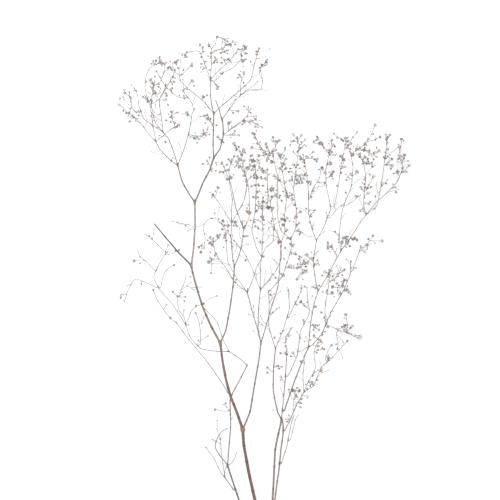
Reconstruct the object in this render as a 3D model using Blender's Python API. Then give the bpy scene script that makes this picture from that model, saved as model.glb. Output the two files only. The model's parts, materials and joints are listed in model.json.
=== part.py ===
"""A dried gypsophila stem, cut and laid on a flat surface.

The stem forks again and again into flowering sprays. Each spray is one body: its twigs and the small
double florets on their stalks are grown together. A spray stands on a short stub of the stem that
carries it, where the branch really grows out.

X runs across the stem, Y along it towards the flowers, and Z up from the surface it lies on.
"""

import math
import random
from collections import namedtuple

import bmesh
import bpy
from mathutils import Vector

MM = 0.001

# Driving dimensions. Routes and florets are placed on the photograph's 500-pixel frame, whose pixel
# measures PLAN_UNIT on the plant; PLAN_CENTRE is the pixel that lies over the origin.
PLAN_UNIT = 1.1 * MM
PLAN_CENTRE = (264.0, 327.0)
FLORET_WIDTHS = {"full": 4.7 * MM, "large": 5.6 * MM, "small": 3.3 * MM, "tiny": 2.4 * MM}
PETALS = 4
STUB_LENGTHS = (6 * MM, 8 * MM, 10 * MM, 13 * MM, 17 * MM, 22 * MM)
JOINT_GAP = 0.3 * MM
CLEARANCE = 0.4 * MM
STALK_RADIUS = 0.36 * MM
TRIM_DEPTH = 0.15 * MM
SAMPLE_STEP = 1.5 * MM
STATION_SPACING = 15 * MM
FLOW = 0.3
CELL = 7 * MM
STEM_SIDES = 8
TWIG_SIDES = 3
STEM_FROM_RADIUS = 0.8
LIFTS = (0, 4, -4, 8, -8, 12, -12, 16, -16, 22, -22, 28, 36)
BACKWARD_COST = 1.3
FORK_SHARE = 0.55
ROOT_TAPER = 0.45
WELD = 0.002 * MM
LEAST_SHARE_KEPT = 0.56
SHARE_STEP = 0.004
SHARES_TRIED = 100
KEPT_SHARES = [LEAST_SHARE_KEPT + SHARE_STEP * i for i in range(SHARES_TRIED)]
SEED = 1606

# One branch: its node, the branch it grows from, its radius at both ends and the height of its tip
# above the surface, in mm, and the pixels that its line runs through.
Route = namedtuple("Route", "node parent root_mm tip_mm height_mm line")
Tube = namedtuple("Tube", "node name points radii")
Bloom = namedtuple("Bloom", "node root centre width turn")

MAIN = "main_stem"
UPPER_LEFT = "spray_upper_left"
TOP = "spray_top"
UPPER_RIGHT = "spray_upper_right"
MID_LEFT = "spray_mid_left"
MID = "spray_mid"
CENTRE_LEFT = "spray_centre_left"
CENTRE = "spray_centre"
CENTRE_RIGHT = "spray_centre_right"
INNER = "spray_inner"
LOW_CENTRE = "spray_low_centre"
RIGHT_HIGH = "spray_right_high"
RIGHT_OUTER = "spray_right_outer"
RIGHT_MID = "spray_right_mid"
LOW_RIGHT = "spray_low_right"
LEFT = "spray_left"
LEFT_LOW = "spray_left_low"
FOOT_LEFT = "spray_foot_left"

ROUTES = {
    # The main stem from its cut end to the fork under the top sprays, with a bare snapped side shoot.
    "foot": Route(MAIN, None, 1.9, 1.9, 1.75, ((271.5, 618), (270.5, 600), (269.5, 582))),
    "main_low": Route(MAIN, "foot", 1.9, 1.6, 22, (
        (268, 565), (264.5, 545), (258.5, 515), (254.7, 499.6), (248.8, 473.5), (243.7, 444), (242.8, 430))),
    "main_mid": Route(MAIN, "main_low", 1.55, 1.25, 36, (
        (236.3, 411.5), (230.4, 396), (226.3, 381), (222.4, 360.5), (220.2, 343.2))),
    "main_high": Route(MAIN, "main_mid", 1.2, 1.0, 44, (
        (211.2, 326.5), (202.6, 306.7), (196.9, 288.8), (192.4, 271.5), (191.2, 265.8))),
    "main_top": Route(MAIN, "main_high", 1.05, 1.0, 50, ((193.4, 249.7), (195, 225), (194.8, 202.3))),
    "snapped": Route(MAIN, "main_high", 0.9, 0.7, 58, (
        (188.6, 262.6), (179.6, 253.6), (163.6, 235), (154.3, 223.8))),
    "right_stem": Route(MAIN, "foot", 1.15, 1.0, 16, (
        (270.3, 560), (272, 515), (273.5, 485), (275.4, 450), (279.8, 428.5), (281.6, 420.4))),
    "far_stem": Route(MAIN, "right_stem", 0.85, 0.75, 28, (
        (272.5, 540), (275, 499.6), (279, 470.5), (281, 450), (283.1, 434.4), (283.2, 426), (282.3, 419.5))),
    "far_thin": Route(MAIN, "far_stem", 0.5, 0.45, 48, (
        (281.2, 464), (285, 453), (287.1, 446.2), (288.5, 438), (291, 425), (294, 415))),
    "far_thin_side": Route(MAIN, "far_thin", 0.4, 0.4, 56, (
        (290, 441), (292.5, 432), (295.6, 419.6), (299, 414))),
    "left_stem": Route(MAIN, "foot", 0.9, 0.8, 10, (
        (262, 560), (252, 538), (245, 518), (238.5, 499.6), (232.2, 480.8), (227.4, 466.1))),
    "left_loop": Route(MAIN, "left_stem", 0.6, 0.48, 20, (
        (224.9, 462.4), (220.4, 457.2), (215.6, 449.1), (215.6, 443.2), (217.9, 437.7), (221.5, 432.2),
        (228, 428.5))),
    "left_thin": Route(MAIN, "left_stem", 0.42, 0.4, 14, ((231, 464), (234.5, 459.5), (236.5, 452.5))),

    # The upper left spray.
    "a": Route(UPPER_LEFT, "main_top", 0.85, 0.7, 50, ((190, 195.3), (182, 181.2), (177.8, 165.5))),
    "a_left": Route(UPPER_LEFT, "a", 0.55, 0.5, 38, ((170.1, 160), (160.2, 149.7), (155.7, 141.4))),
    "a_outer": Route(UPPER_LEFT, "a_left", 0.45, 0.4, 16, (
        (147.1, 132.4), (141.5, 124), (132.3, 115.6), (127, 112.5))),
    "a_up": Route(UPPER_LEFT, "a_left", 0.45, 0.4, 44, ((153.1, 126.5), (151.7, 116.7), (149.5, 103))),
    "a_thin": Route(UPPER_LEFT, "a_left", 0.4, 0.4, 58, ((161, 137.5), (170.8, 129.2), (178.8, 125))),
    "a_mid": Route(UPPER_LEFT, "a", 0.55, 0.5, 56, ((174.5, 154.5), (169, 139.5), (163.2, 132.4))),
    "a_mid_left": Route(UPPER_LEFT, "a_mid", 0.42, 0.4, 64, (
        (156.4, 127.7), (144.5, 119.5), (139.2, 106.4), (137.9, 96.2), (136.4, 91.4))),
    "a_edge_left": Route(UPPER_LEFT, "a_mid_left", 0.4, 0.4, 50, (
        (137.3, 113.2), (132.3, 108.6), (131, 101), (129.2, 92.5))),
    "a_mid_up": Route(UPPER_LEFT, "a_mid", 0.42, 0.4, 74, ((155.2, 122.4), (151.6, 105), (153, 91))),
    "a_cross": Route(UPPER_LEFT, "a_mid_up", 0.4, 0.4, 70, (
        (153.5, 103.5), (160.9, 97.7), (167, 87), (172.7, 77.7))),
    "a_mid_right": Route(UPPER_LEFT, "a_mid", 0.42, 0.4, 80, (
        (161.6, 117.5), (159.3, 101), (164, 91.5), (165.5, 86.5))),
    "a_crown_right": Route(UPPER_LEFT, "a_mid_right", 0.4, 0.4, 86, ((170.6, 82.1), (175.2, 70.5))),
    "a_crown_left": Route(UPPER_LEFT, "a_mid_right", 0.4, 0.4, 72, ((161.6, 80.1), (156.8, 72.1))),
    "a_crown_mid": Route(UPPER_LEFT, "a_crown_left", 0.4, 0.4, 78, ((162.6, 77), (164.5, 68.6), (165, 65))),
    "a_edge": Route(UPPER_LEFT, "a_up", 0.4, 0.4, 52, (
        (146.4, 95), (145, 86.8), (145.9, 76.8), (150, 67.7), (158, 63.6))),
    "a_right": Route(UPPER_LEFT, "a", 0.5, 0.42, 62, (
        (184.2, 148.5), (189.3, 131), (192.2, 113.8), (194.1, 110.3))),
    "a_right_left": Route(UPPER_LEFT, "a_right", 0.4, 0.4, 66, ((190.8, 101.3), (183, 91.5))),
    "a_back": Route(UPPER_LEFT, "a_right_left", 0.4, 0.4, 60, ((185, 98.5), (179, 97.5), (172.5, 93.2))),
    "a_side": Route(UPPER_LEFT, "a_right", 0.4, 0.4, 70, ((191.5, 135.2), (200, 136.2), (205.5, 135))),

    # The top spray, on the stem's own leader.
    "b": Route(TOP, "main_top", 0.95, 0.85, 52, (
        (198, 195.3), (203.1, 182.4), (209.2, 170.9), (213.7, 158))),
    "b_mid": Route(TOP, "b", 0.7, 0.65, 56, ((213.1, 146.5), (213.4, 130), (213.8, 113.7))),
    "b_high": Route(TOP, "b_mid", 0.6, 0.5, 60, ((211.5, 103.8), (210.4, 92.3), (210.6, 79.5))),
    "b_up": Route(TOP, "b_high", 0.45, 0.4, 66, (
        (211.4, 65), (211.5, 49.7), (215.3, 44.6), (216.8, 36.8))),
    "b_left": Route(TOP, "b_high", 0.4, 0.4, 48, ((206.4, 68.6), (199.6, 51.6), (187, 52))),
    "b_right": Route(TOP, "b_high", 0.42, 0.4, 74, ((216.5, 73.1), (226, 64.5), (233, 57), (238, 50))),
    "b_fan": Route(TOP, "b_high", 0.4, 0.4, 62, ((215, 81), (223, 73), (233, 68), (241, 60))),
    "b_low_left": Route(TOP, "b_mid", 0.45, 0.4, 40, (
        (202.8, 100.6), (190.1, 90.1), (180.5, 80.5), (178.7, 68))),
    "b_low_right": Route(TOP, "b_mid", 0.5, 0.4, 66, (
        (222, 105.8), (236.4, 93.6), (250.2, 80.4), (254, 66), (257, 55))),

    # The upper right spray.
    "c": Route(UPPER_RIGHT, "b", 0.75, 0.65, 40, (
        (220.1, 148.5), (223.3, 135), (222.7, 122.2), (222, 119.6))),
    "c_snapped": Route(UPPER_RIGHT, "c", 0.6, 0.55, 34, ((219.1, 109.6), (215.6, 100))),
    "c_right": Route(UPPER_RIGHT, "c", 0.5, 0.42, 34, ((228.4, 110.3), (236.4, 99.4), (240.3, 95.2))),
    "c_arc": Route(UPPER_RIGHT, "c_right", 0.4, 0.4, 24, (
        (249.9, 89.7), (260.8, 89.1), (262.5, 79.5), (260, 68))),
    "c_up": Route(UPPER_RIGHT, "c_right", 0.4, 0.4, 42, ((241, 82), (244, 74))),
    "c_end": Route(UPPER_RIGHT, "c_right", 0.4, 0.4, 32, ((246, 90.5), (254, 85), (257.6, 81.4))),
    "c_low": Route(UPPER_RIGHT, "c", 0.42, 0.4, 26, ((225.2, 133.6), (231, 129), (238, 124), (247, 116))),

    # The middle spray and its left half.
    "d": Route(MID, "main_mid", 0.85, 0.7, 66, (
        (225.6, 331), (229.8, 308.6), (233.3, 283.5), (234.4, 266.2))),
    "d_right": Route(MID, "d", 0.55, 0.5, 80, ((239.1, 255.3), (242.3, 241.2), (243.5, 229))),
    "d_dark": Route(MID, "d_right", 0.5, 0.4, 92, (
        (240.4, 220.6), (235.9, 207.2), (230.5, 183), (223, 165))),
    "d_right_up": Route(MID, "d_right", 0.42, 0.4, 84, (
        (248.7, 219.4), (249.5, 200), (247.5, 182), (243, 165), (240, 152))),
    "d_left": Route(MID_LEFT, "d", 0.55, 0.5, 66, ((232.4, 256.5), (231.4, 240), (230.8, 236.7))),
    "d_left_up": Route(MID_LEFT, "d_left", 0.45, 0.42, 72, ((231.8, 225), (231.3, 213), (232.5, 200))),
    "d_left_out": Route(MID_LEFT, "d_left_up", 0.4, 0.4, 66, (
        (230.6, 222.5), (229.2, 218.7), (220, 204.5), (212.5, 194.5))),
    "d_left_in": Route(MID_LEFT, "d_left_up", 0.4, 0.4, 80, (
        (232.6, 221), (236.5, 214), (244, 200.5), (246.4, 190), (246.3, 180))),
    "d_loop": Route(MID_LEFT, "d_left", 0.4, 0.4, 58, (
        (226, 230), (216, 218.5), (208, 219.5), (203.2, 227), (204.5, 234))),
    "d_crown": Route(MID_LEFT, "d_left_up", 0.4, 0.4, 76, ((230, 185), (229, 170), (234, 157))),

    # The centre sprays, on the branch from the first fork.
    "e": Route(CENTRE_LEFT, "main_low", 0.95, 0.7, 52, (
        (249.9, 412.3), (254.2, 387), (259.2, 357.7), (260.9, 343.1))),
    "e_left": Route(CENTRE_LEFT, "e", 0.55, 0.5, 60, ((257.3, 328.5), (251.5, 308.5), (247.5, 292.5))),
    "e_far_left": Route(CENTRE_LEFT, "e_left", 0.45, 0.4, 50, (
        (234.5, 281.5), (225.3, 266.8), (216.3, 255.3), (213, 242))),
    "e_left_up": Route(CENTRE_LEFT, "e_left", 0.42, 0.4, 56, (
        (235.9, 276.4), (228, 262), (226.5, 241))),
    "e_arch": Route(CENTRE_LEFT, "e_left", 0.45, 0.42, 66, ((251.9, 281.5), (256.4, 268.1), (261.7, 257.2))),
    "e_arch_right": Route(CENTRE_LEFT, "e_arch", 0.4, 0.4, 60, ((265.4, 248.2), (273, 241), (273.5, 230))),
    "e_column": Route(CENTRE_LEFT, "e_arch", 0.42, 0.4, 68, (
        (256.4, 247.6), (252, 230), (255, 212), (256, 190), (256, 175), (253.5, 160))),
    "f": Route(CENTRE, "e", 0.55, 0.5, 44, ((258.1, 328.5), (259, 304), (260.4, 289.5))),
    "f_left": Route(CENTRE, "f", 0.42, 0.4, 40, (
        (257.7, 283.5), (251.6, 267.4), (244, 252.5), (234.5, 241))),
    "f_up": Route(CENTRE, "f", 0.45, 0.4, 40, (
        (260.3, 271.3), (262, 250), (263, 232), (262, 215), (263, 198))),
    "f_right": Route(CENTRE, "f", 0.42, 0.4, 34, ((269.2, 279.6), (276.5, 270), (281.5, 258), (281, 247))),
    "g": Route(CENTRE_RIGHT, "e", 0.6, 0.5, 40, (
        (265.8, 327), (269.8, 312.3), (277.9, 286.7), (280.1, 261.7), (281.2, 242.5))),
    "g_up": Route(CENTRE_RIGHT, "g", 0.42, 0.4, 28, (
        (284.8, 232), (284.5, 216), (286.5, 198), (284, 180), (281, 163))),
    "g_left": Route(CENTRE_RIGHT, "g", 0.4, 0.4, 20, ((275, 229), (272, 212), (268, 192), (267, 170))),

    # The inner spray, on the left branch of the right stem.
    "h": Route(INNER, "right_stem", 0.75, 0.6, 24, (
        (277.6, 412.3), (273.3, 390), (274, 364), (275.5, 348.5))),
    "h_left": Route(INNER, "h", 0.5, 0.45, 58, ((269, 327), (269.2, 303.8), (268.5, 292))),
    "h_right": Route(INNER, "h", 0.45, 0.4, 20, ((283.5, 329), (289.6, 307.7), (288.3, 291))),
    "h_side": Route(INNER, "h_right", 0.4, 0.4, 26, ((288.5, 317.5), (296, 302), (301, 292))),
    "h_behind": Route(INNER, "h_left", 0.45, 0.42, 84, (
        (275, 285), (282, 277), (286.5, 264), (291.5, 247), (290.7, 239.2))),
    "h_crown": Route(INNER, "h_behind", 0.42, 0.4, 96, (
        (281.2, 230.7), (277.6, 217.4), (277, 198), (277.5, 178), (273, 157))),
    "h_crown_up": Route(INNER, "h_behind", 0.42, 0.4, 100, (
        (295.5, 228), (296, 210), (293.5, 190), (296, 168), (299, 146))),

    # The low sprays of the right stem.
    "i": Route(LOW_CENTRE, "right_stem", 0.6, 0.5, 36, (
        (282.7, 408), (285.4, 378.5), (286.9, 350.8))),
    "i_up": Route(LOW_CENTRE, "i", 0.4, 0.4, 42, ((285.5, 338), (291.9, 328.1))),
    "i_right": Route(LOW_CENTRE, "i", 0.45, 0.4, 44, (
        (287, 377), (290.8, 370.8), (297.3, 355.4), (301, 330), (309.2, 313.8), (307.5, 298), (307, 288))),
    "i_low": Route(LOW_CENTRE, "i_right", 0.4, 0.4, 34, ((300, 352), (307, 347.5))),

    # The right sprays: a high one, an outer one and a lower one on one branch.
    "j": Route(RIGHT_OUTER, "i", 0.75, 0.6, 30, (
        (284.5, 411), (288.3, 399.7), (294.6, 381.5), (303.5, 358.5), (308.5, 347.7))),
    "j_up": Route(RIGHT_OUTER, "j", 0.55, 0.5, 44, ((310.4, 325.4), (314.2, 303.8), (318, 291))),
    "j_outer": Route(RIGHT_OUTER, "j_up", 0.5, 0.45, 34, (
        (327.3, 276.5), (334.5, 262.5), (340.8, 251.2))),
    "j_far": Route(RIGHT_OUTER, "j_outer", 0.45, 0.42, 24, (
        (350.4, 238.1), (361.2, 221.5), (366.4, 214.6))),
    "j_edge": Route(RIGHT_OUTER, "j_far", 0.42, 0.4, 9, (
        (377.5, 201.3), (388, 192), (398, 181), (403, 168))),
    "j_edge_up": Route(RIGHT_OUTER, "j_far", 0.42, 0.4, 22, (
        (364, 205), (364.5, 192), (366, 176), (363, 160))),
    "j_far_up": Route(RIGHT_OUTER, "j_far", 0.42, 0.4, 16, (
        (377, 205.5), (382.9, 176), (385, 160), (387, 144))),
    "j_inner": Route(RIGHT_OUTER, "j_outer", 0.42, 0.4, 44, (
        (339.5, 236), (340.8, 220.4), (343.4, 206.6), (351, 188), (353, 165), (350, 152))),
    "j_thin": Route(RIGHT_OUTER, "j_inner", 0.4, 0.4, 38, ((345.5, 206), (353.8, 200.8), (358, 196.5))),
    "k": Route(RIGHT_HIGH, "j_up", 0.5, 0.45, 66, (
        (315.8, 281.9), (313.3, 262), (315.4, 246.5), (316.4, 240.4))),
    "k_left": Route(RIGHT_HIGH, "k", 0.42, 0.4, 68, (
        (311.5, 228), (308.5, 212), (308.2, 190), (306, 170), (303, 155))),
    "k_left_in": Route(RIGHT_HIGH, "k_left", 0.4, 0.4, 62, (
        (309.6, 199), (312.1, 190), (319.2, 178.3), (321, 169))),
    "k_right": Route(RIGHT_HIGH, "k", 0.42, 0.4, 80, (
        (323.5, 227.3), (330.4, 208.8), (326.5, 188), (325.5, 170), (330, 151))),
    "k_low_right": Route(RIGHT_HIGH, "k_right", 0.4, 0.4, 72, ((329.4, 218), (336.5, 209.6), (341, 206))),
    "k_far": Route(RIGHT_HIGH, "k_right", 0.4, 0.4, 88, ((334, 206), (337.5, 190), (341, 165), (345, 145))),
    "l": Route(RIGHT_MID, "j", 0.5, 0.45, 18, (
        (312.7, 345), (321.9, 333.8), (331.9, 310.8), (343.1, 291.9), (350.8, 272.7), (351, 262))),
    "l_arc": Route(RIGHT_MID, "l", 0.4, 0.4, 9, ((334.9, 328.4), (340, 331), (346, 332))),
    "l_low": Route(RIGHT_MID, "l_arc", 0.4, 0.4, 8, ((336.5, 334), (338.4, 342.2), (337.7, 349))),
    "l_end": Route(RIGHT_MID, "l", 0.4, 0.4, 22, ((353, 268), (358, 256), (361, 246))),
    "l_fan": Route(RIGHT_MID, "l", 0.4, 0.4, 26, ((325.6, 323), (325.2, 309), (328, 290), (330, 276))),
    "m": Route(LOW_RIGHT, "far_stem", 0.6, 0.5, 54, (
        (284.8, 431), (290.1, 420.4), (296, 406.4), (303.9, 392.3))),
    "m_left": Route(LOW_RIGHT, "m", 0.4, 0.4, 60, ((307.5, 383), (315.3, 368.3), (314, 352), (318.5, 340))),
    "m_right": Route(LOW_RIGHT, "m", 0.45, 0.4, 52, (
        (313.7, 385.2), (321.5, 367.2), (331.4, 358.4), (346.9, 341.3))),
    "m_rise": Route(LOW_RIGHT, "m", 0.4, 0.4, 62, ((303.3, 385), (303, 374), (304.3, 363))),
    "m_side": Route(LOW_RIGHT, "m_right", 0.4, 0.4, 44, ((325.2, 359), (328, 351), (331.4, 345.7))),
    "m_low": Route(LOW_RIGHT, "m", 0.4, 0.4, 46, ((293, 410), (294, 400), (295, 391))),

    # The left sprays, thin and kinked, on the left stem.
    "n": Route(LEFT, "left_stem", 0.65, 0.55, 18, (
        (228.9, 447.7), (230.6, 425.5), (230.5, 398), (239.7, 380.4), (247.1, 365.6))),
    "n_kink": Route(LEFT, "n", 0.5, 0.45, 24, ((240.4, 359.2), (229.2, 351.9))),
    "n_left": Route(LEFT, "n_kink", 0.45, 0.42, 26, (
        (215, 351.3), (200.6, 348.7), (190.1, 337.4), (185.6, 324.9))),
    "n_high": Route(LEFT, "n_left", 0.42, 0.4, 30, (
        (172.9, 305), (159.3, 289.3), (153.6, 276.4), (162.1, 258.6), (167.1, 252.1))),
    "n_out": Route(LEFT, "n_high", 0.4, 0.4, 20, ((154, 270), (147, 262.5), (140, 257))),
    "n_tip": Route(LEFT, "n_high", 0.4, 0.4, 36, ((163, 250), (152, 239))),
    "n_far": Route(LEFT, "n_high", 0.4, 0.4, 9, (
        (156.5, 287.8), (150, 284.5), (141.4, 281), (135.4, 279.2), (131, 284), (126, 294))),
    "n_side": Route(LEFT, "n_left", 0.4, 0.4, 36, ((187.5, 321), (191.4, 310.7), (196.4, 306.4), (203, 304))),
    "n_mid": Route(LEFT, "n_left", 0.4, 0.4, 44, ((184.3, 318), (178.6, 309.3), (177.1, 296.4))),
    "n_rise": Route(LEFT, "n_left", 0.4, 0.4, 32, (
        (200.5, 343.6), (200, 329.3), (198.6, 320.7), (195.7, 313.6))),
    "n_second": Route(LEFT, "n_kink", 0.4, 0.4, 18, ((223.1, 340), (216.7, 322), (205, 309.5))),
    "n_inner": Route(LEFT, "n_high", 0.4, 0.4, 38, (
        (160.6, 287), (162.9, 276.4), (167.1, 269.3), (173.6, 265.3))),
    "o": Route(LEFT_LOW, "n", 0.5, 0.42, 10, (
        (228.8, 394.5), (225, 388), (206.4, 361.2), (187.2, 338.1), (177, 324))),
    "o_up": Route(LEFT_LOW, "o", 0.4, 0.4, 12, ((169.6, 317.9), (157.1, 300.7), (152.9, 290))),
    "p": Route(FOOT_LEFT, "left_stem", 0.65, 0.5, 6, ((233.6, 490.8), (224.9, 478.6))),
    "p_up": Route(FOOT_LEFT, "p", 0.42, 0.4, 7, ((220.8, 473.5), (213.5, 458.5), (206, 448.5))),
    "p_side": Route(FOOT_LEFT, "p", 0.4, 0.4, 5, ((224.7, 474.5), (224.9, 470.5), (226.3, 468))),
    "p_thin": Route(FOOT_LEFT, "p", 0.4, 0.4, 6, ((223.8, 471), (221.5, 456), (220.3, 440))),
}

# Florets, grouped by the size they look to the eye, each at the pixel where it is seen.
FLORETS = {
    "full": (
        (215, 410),
        (125, 93), (134, 88), (129, 112), (151, 80), (159, 84), (152, 88), (155, 92), (153, 61), (160, 60),
        (162, 64), (166, 63), (175, 62), (185, 57), (170, 68), (175, 71), (192, 81), (166, 100), (171, 117),
        (175, 122), (179, 125), (217, 37), (225, 40), (209, 45), (203, 47), (226, 45), (231, 46), (246, 47),
        (243, 50), (259, 49), (222, 49), (224, 60), (231, 62), (205, 62), (262, 65), (266, 62), (244, 72),
        (240, 76), (218, 87), (203, 97), (208, 119), (194, 138), (199, 139), (204, 132), (206, 136),
        (207, 161), (212, 169), (238, 111), (248, 106), (229, 123), (213, 125), (258, 124), (234, 134),
        (239, 135), (218, 137), (253, 134), (255, 138), (252, 148), (243, 150), (245, 153), (241, 154),
        (238, 157), (259, 156), (231, 162), (222, 164), (237, 162), (240, 160), (244, 161), (250, 160),
        (254, 161), (250, 165), (254, 166), (259, 163), (236, 166), (240, 167), (243, 171), (248, 169),
        (252, 170), (228, 170), (220, 172), (231, 178), (244, 176), (251, 177), (257, 178), (258, 185),
        (213, 195), (256, 197), (273, 138), (276, 142), (279, 141), (268, 151), (268, 155), (272, 154),
        (278, 153), (280, 155), (286, 159), (280, 168), (274, 176), (277, 178), (285, 182), (286, 191),
        (271, 188), (276, 195), (272, 197), (287, 196), (263, 202), (260, 207), (273, 208), (256, 211),
        (293, 135), (297, 139), (301, 136), (305, 140), (291, 142), (299, 149), (313, 152), (301, 159),
        (293, 165), (296, 175), (299, 176), (305, 175), (302, 183), (299, 183), (308, 182), (292, 195),
        (292, 199), (294, 204), (300, 212), (318, 139), (322, 143), (331, 141), (333, 145), (345, 139),
        (347, 148), (357, 132), (375, 125), (380, 137), (387, 138), (390, 135), (402, 139), (400, 147),
        (317, 159), (327, 151), (330, 150), (330, 154), (343, 160), (357, 149), (360, 148), (352, 154),
        (364, 150), (372, 155), (377, 157), (388, 149), (405, 155), (392, 159), (389, 162), (393, 165),
        (410, 165), (322, 168), (325, 173), (333, 172), (331, 176), (342, 168), (345, 167), (364, 162),
        (368, 161), (372, 163), (351, 174), (348, 177), (365, 177), (382, 183), (361, 187), (368, 193),
        (396, 187), (325, 183), (363, 209), (223, 221), (228, 226), (225, 237), (210, 238), (210, 243),
        (199, 247), (204, 248), (201, 252), (210, 258), (235, 222), (237, 226), (242, 222), (244, 228),
        (246, 236), (254, 222), (262, 217), (260, 242), (279, 242), (282, 219), (283, 225), (287, 218),
        (287, 230), (296, 217), (299, 223), (298, 230), (312, 226), (347, 237), (354, 238), (357, 240),
        (328, 246), (373, 236), (382, 241), (367, 245), (365, 252), (311, 259), (307, 263), (302, 274),
        (300, 267), (297, 279), (283, 275), (343, 286), (333, 287), (348, 290), (327, 292), (332, 293),
        (301, 302), (328, 327), (314, 336), (322, 335), (321, 342), (328, 357), (346, 315), (353, 326),
        (347, 331), (350, 334), (361, 336), (360, 339), (285, 353), (293, 353), (281, 377), (299, 391),
        (134, 261)),
    "large": (
        (147, 99), (236, 148), (218, 188), (214, 241), (292, 246), (290, 266), (297, 268), (325, 272),
        (369, 151), (321, 371), (234, 144), (226, 233), (334, 280), (244, 121), (274, 150), (216, 60),
        (365, 144), (341, 157), (330, 164), (379, 151), (350, 144), (357, 172), (304, 162), (302, 179),
        (320, 144), (283, 164), (268, 207), (306, 271), (347, 243), (342, 243), (344, 238), (187, 113),
        (171, 90), (338, 276), (209, 262), (249, 213), (405, 171), (398, 172), (268, 159), (262, 169),
        (243, 61), (304, 263), (132, 115), (360, 154), (365, 157), (272, 162), (374, 176), (255, 174)),
    "small": (
        (138, 111), (184, 89), (192, 63), (204, 116), (257, 143), (266, 144), (265, 178), (356, 268),
        (316, 285), (339, 235), (278, 366), (311, 214), (262, 127), (118, 104), (155, 82), (175, 83),
        (178, 60), (183, 74), (171, 112), (176, 113), (236, 42), (241, 55), (227, 51), (216, 51), (211, 57),
        (251, 108), (250, 121), (256, 116), (221, 140), (260, 148), (285, 150), (263, 151), (264, 156),
        (229, 159), (224, 167), (265, 171), (259, 168), (258, 192), (266, 192), (273, 190), (279, 198),
        (267, 203), (256, 205), (302, 148), (293, 152), (308, 158), (286, 167), (291, 172), (291, 180),
        (313, 191), (311, 181), (310, 210), (301, 232), (290, 239), (295, 253), (299, 259), (305, 255),
        (318, 263), (314, 265), (329, 273), (335, 252), (332, 245), (312, 287), (302, 286), (342, 282),
        (346, 280), (341, 268), (343, 271), (338, 288), (341, 294), (351, 294), (149, 236), (168, 245),
        (179, 250), (153, 290), (166, 305), (183, 286), (194, 290), (173, 292), (182, 292), (178, 297),
        (185, 297), (170, 318), (184, 310), (196, 306), (211, 273), (216, 254), (222, 230), (219, 238),
        (220, 235), (233, 246), (263, 229), (258, 220), (273, 227), (289, 390), (297, 397), (300, 403),
        (314, 372), (309, 381), (312, 382), (310, 385), (277, 409), (282, 367), (284, 343), (289, 335),
        (300, 338), (267, 368), (304, 324), (295, 302), (305, 306), (324, 318), (313, 325), (315, 328),
        (319, 325), (319, 330), (318, 338), (324, 349), (318, 350), (229, 411), (232, 419),
        (204, 317), (120, 295), (124, 301), (369, 185), (368, 188), (366, 202), (369, 204), (356, 196),
        (401, 159), (386, 152), (386, 158), (399, 155), (375, 140), (368, 139), (337, 138), (341, 139),
        (143, 97), (130, 97)),
    "tiny": (
        (184, 98), (203, 69), (223, 72), (257, 59), (363, 248), (228, 39), (247, 50), (127, 286),
        (138, 253), (144, 234), (171, 221), (180, 224), (188, 231), (202, 287), (203, 323), (141, 283),
        (223, 405), (217, 421), (212, 440), (348, 325), (304, 362), (288, 419), (191, 282), (268, 221),
        (313, 143), (217, 296), (188, 325), (186, 275), (154, 229), (211, 218), (293, 390), (308, 396),
        (296, 406), (315, 306), (208, 336)),
}

# The florets that the stem rests on, with its foot.
RESTING = ((118, 104), (410, 165), (120, 295), (361, 336))

BARE_ROUTES = ("snapped", "c_snapped")
STEM_COLOUR = (0.30, 0.19, 0.16, 1.0)
SPRAY_COLOUR = (0.50, 0.42, 0.36, 1.0)


def in_plan(x, y, height=0.0):
    """The place of a pixel of the plan, at a height above the surface."""
    return Vector(((x - PLAN_CENTRE[0]) * PLAN_UNIT, (PLAN_CENTRE[1] - y) * PLAN_UNIT, height))


class Room:
    """The space that is taken, as balls in a grid of cells, each with the node it belongs to."""

    def __init__(self):
        self.cells = {}

    def key(self, point):
        return tuple(math.floor(value / CELL) for value in point)

    def take(self, point, radius, node):
        self.cells.setdefault(self.key(point), []).append((point, radius, node))

    def is_free(self, point, radius, node):
        """True where a ball stays clear of every other node's."""
        column, row, level = self.key(point)
        for i in (column - 1, column, column + 1):
            for j in (row - 1, row, row + 1):
                for k in (level - 1, level, level + 1):
                    for other, size, owner in self.cells.get((i, j, k), ()):
                        if owner != node and (other - point).length < radius + size + CLEARANCE:
                            return False
        return True


def along(points, radii, step=SAMPLE_STEP):
    """Balls along a tube, no further apart than the step."""
    balls = []
    for start, end, r_start, r_end in zip(points, points[1:], radii, radii[1:]):
        count = max(1, math.ceil((end - start).length / step))
        for i in range(count):
            share = i / count
            balls.append((start.lerp(end, share), (r_start + (r_end - r_start) * share) * MM))
    balls.append((points[-1], radii[-1] * MM))
    return balls


def cut_at(points, radii, distance):
    """The two parts of a tube, cut square at a distance along it, with the joint's gap between them."""
    walked = 0.0
    for i, (start, end) in enumerate(zip(points, points[1:])):
        length = (end - start).length
        if walked + length > distance + JOINT_GAP * 4 or i == len(points) - 2:
            share = min(0.9, max(0.1, (distance - walked) / length))
            cut = start.lerp(end, share)
            radius = radii[i] + (radii[i + 1] - radii[i]) * share
            half = (end - start).normalized() * (JOINT_GAP / 2)
            head = (points[:i + 1] + [cut - half], radii[:i + 1] + [radius])
            tail = ([cut + half] + points[i + 1:], [radius] + radii[i + 1:])
            return head, tail
        walked += length


def nearest_on(points, target):
    """The point of a line that lies nearest the target in plan."""
    best = None
    for start, end in zip(points, points[1:]):
        run = (end - start).xy
        share = (target - start).xy.dot(run) / max(run.length_squared, 1e-12)
        place = start.lerp(end, min(1.0, max(0.0, share)))
        gap = (place - target).xy.length
        if best is None or gap < best[0]:
            best = (gap, place)
    return best[1]


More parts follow.
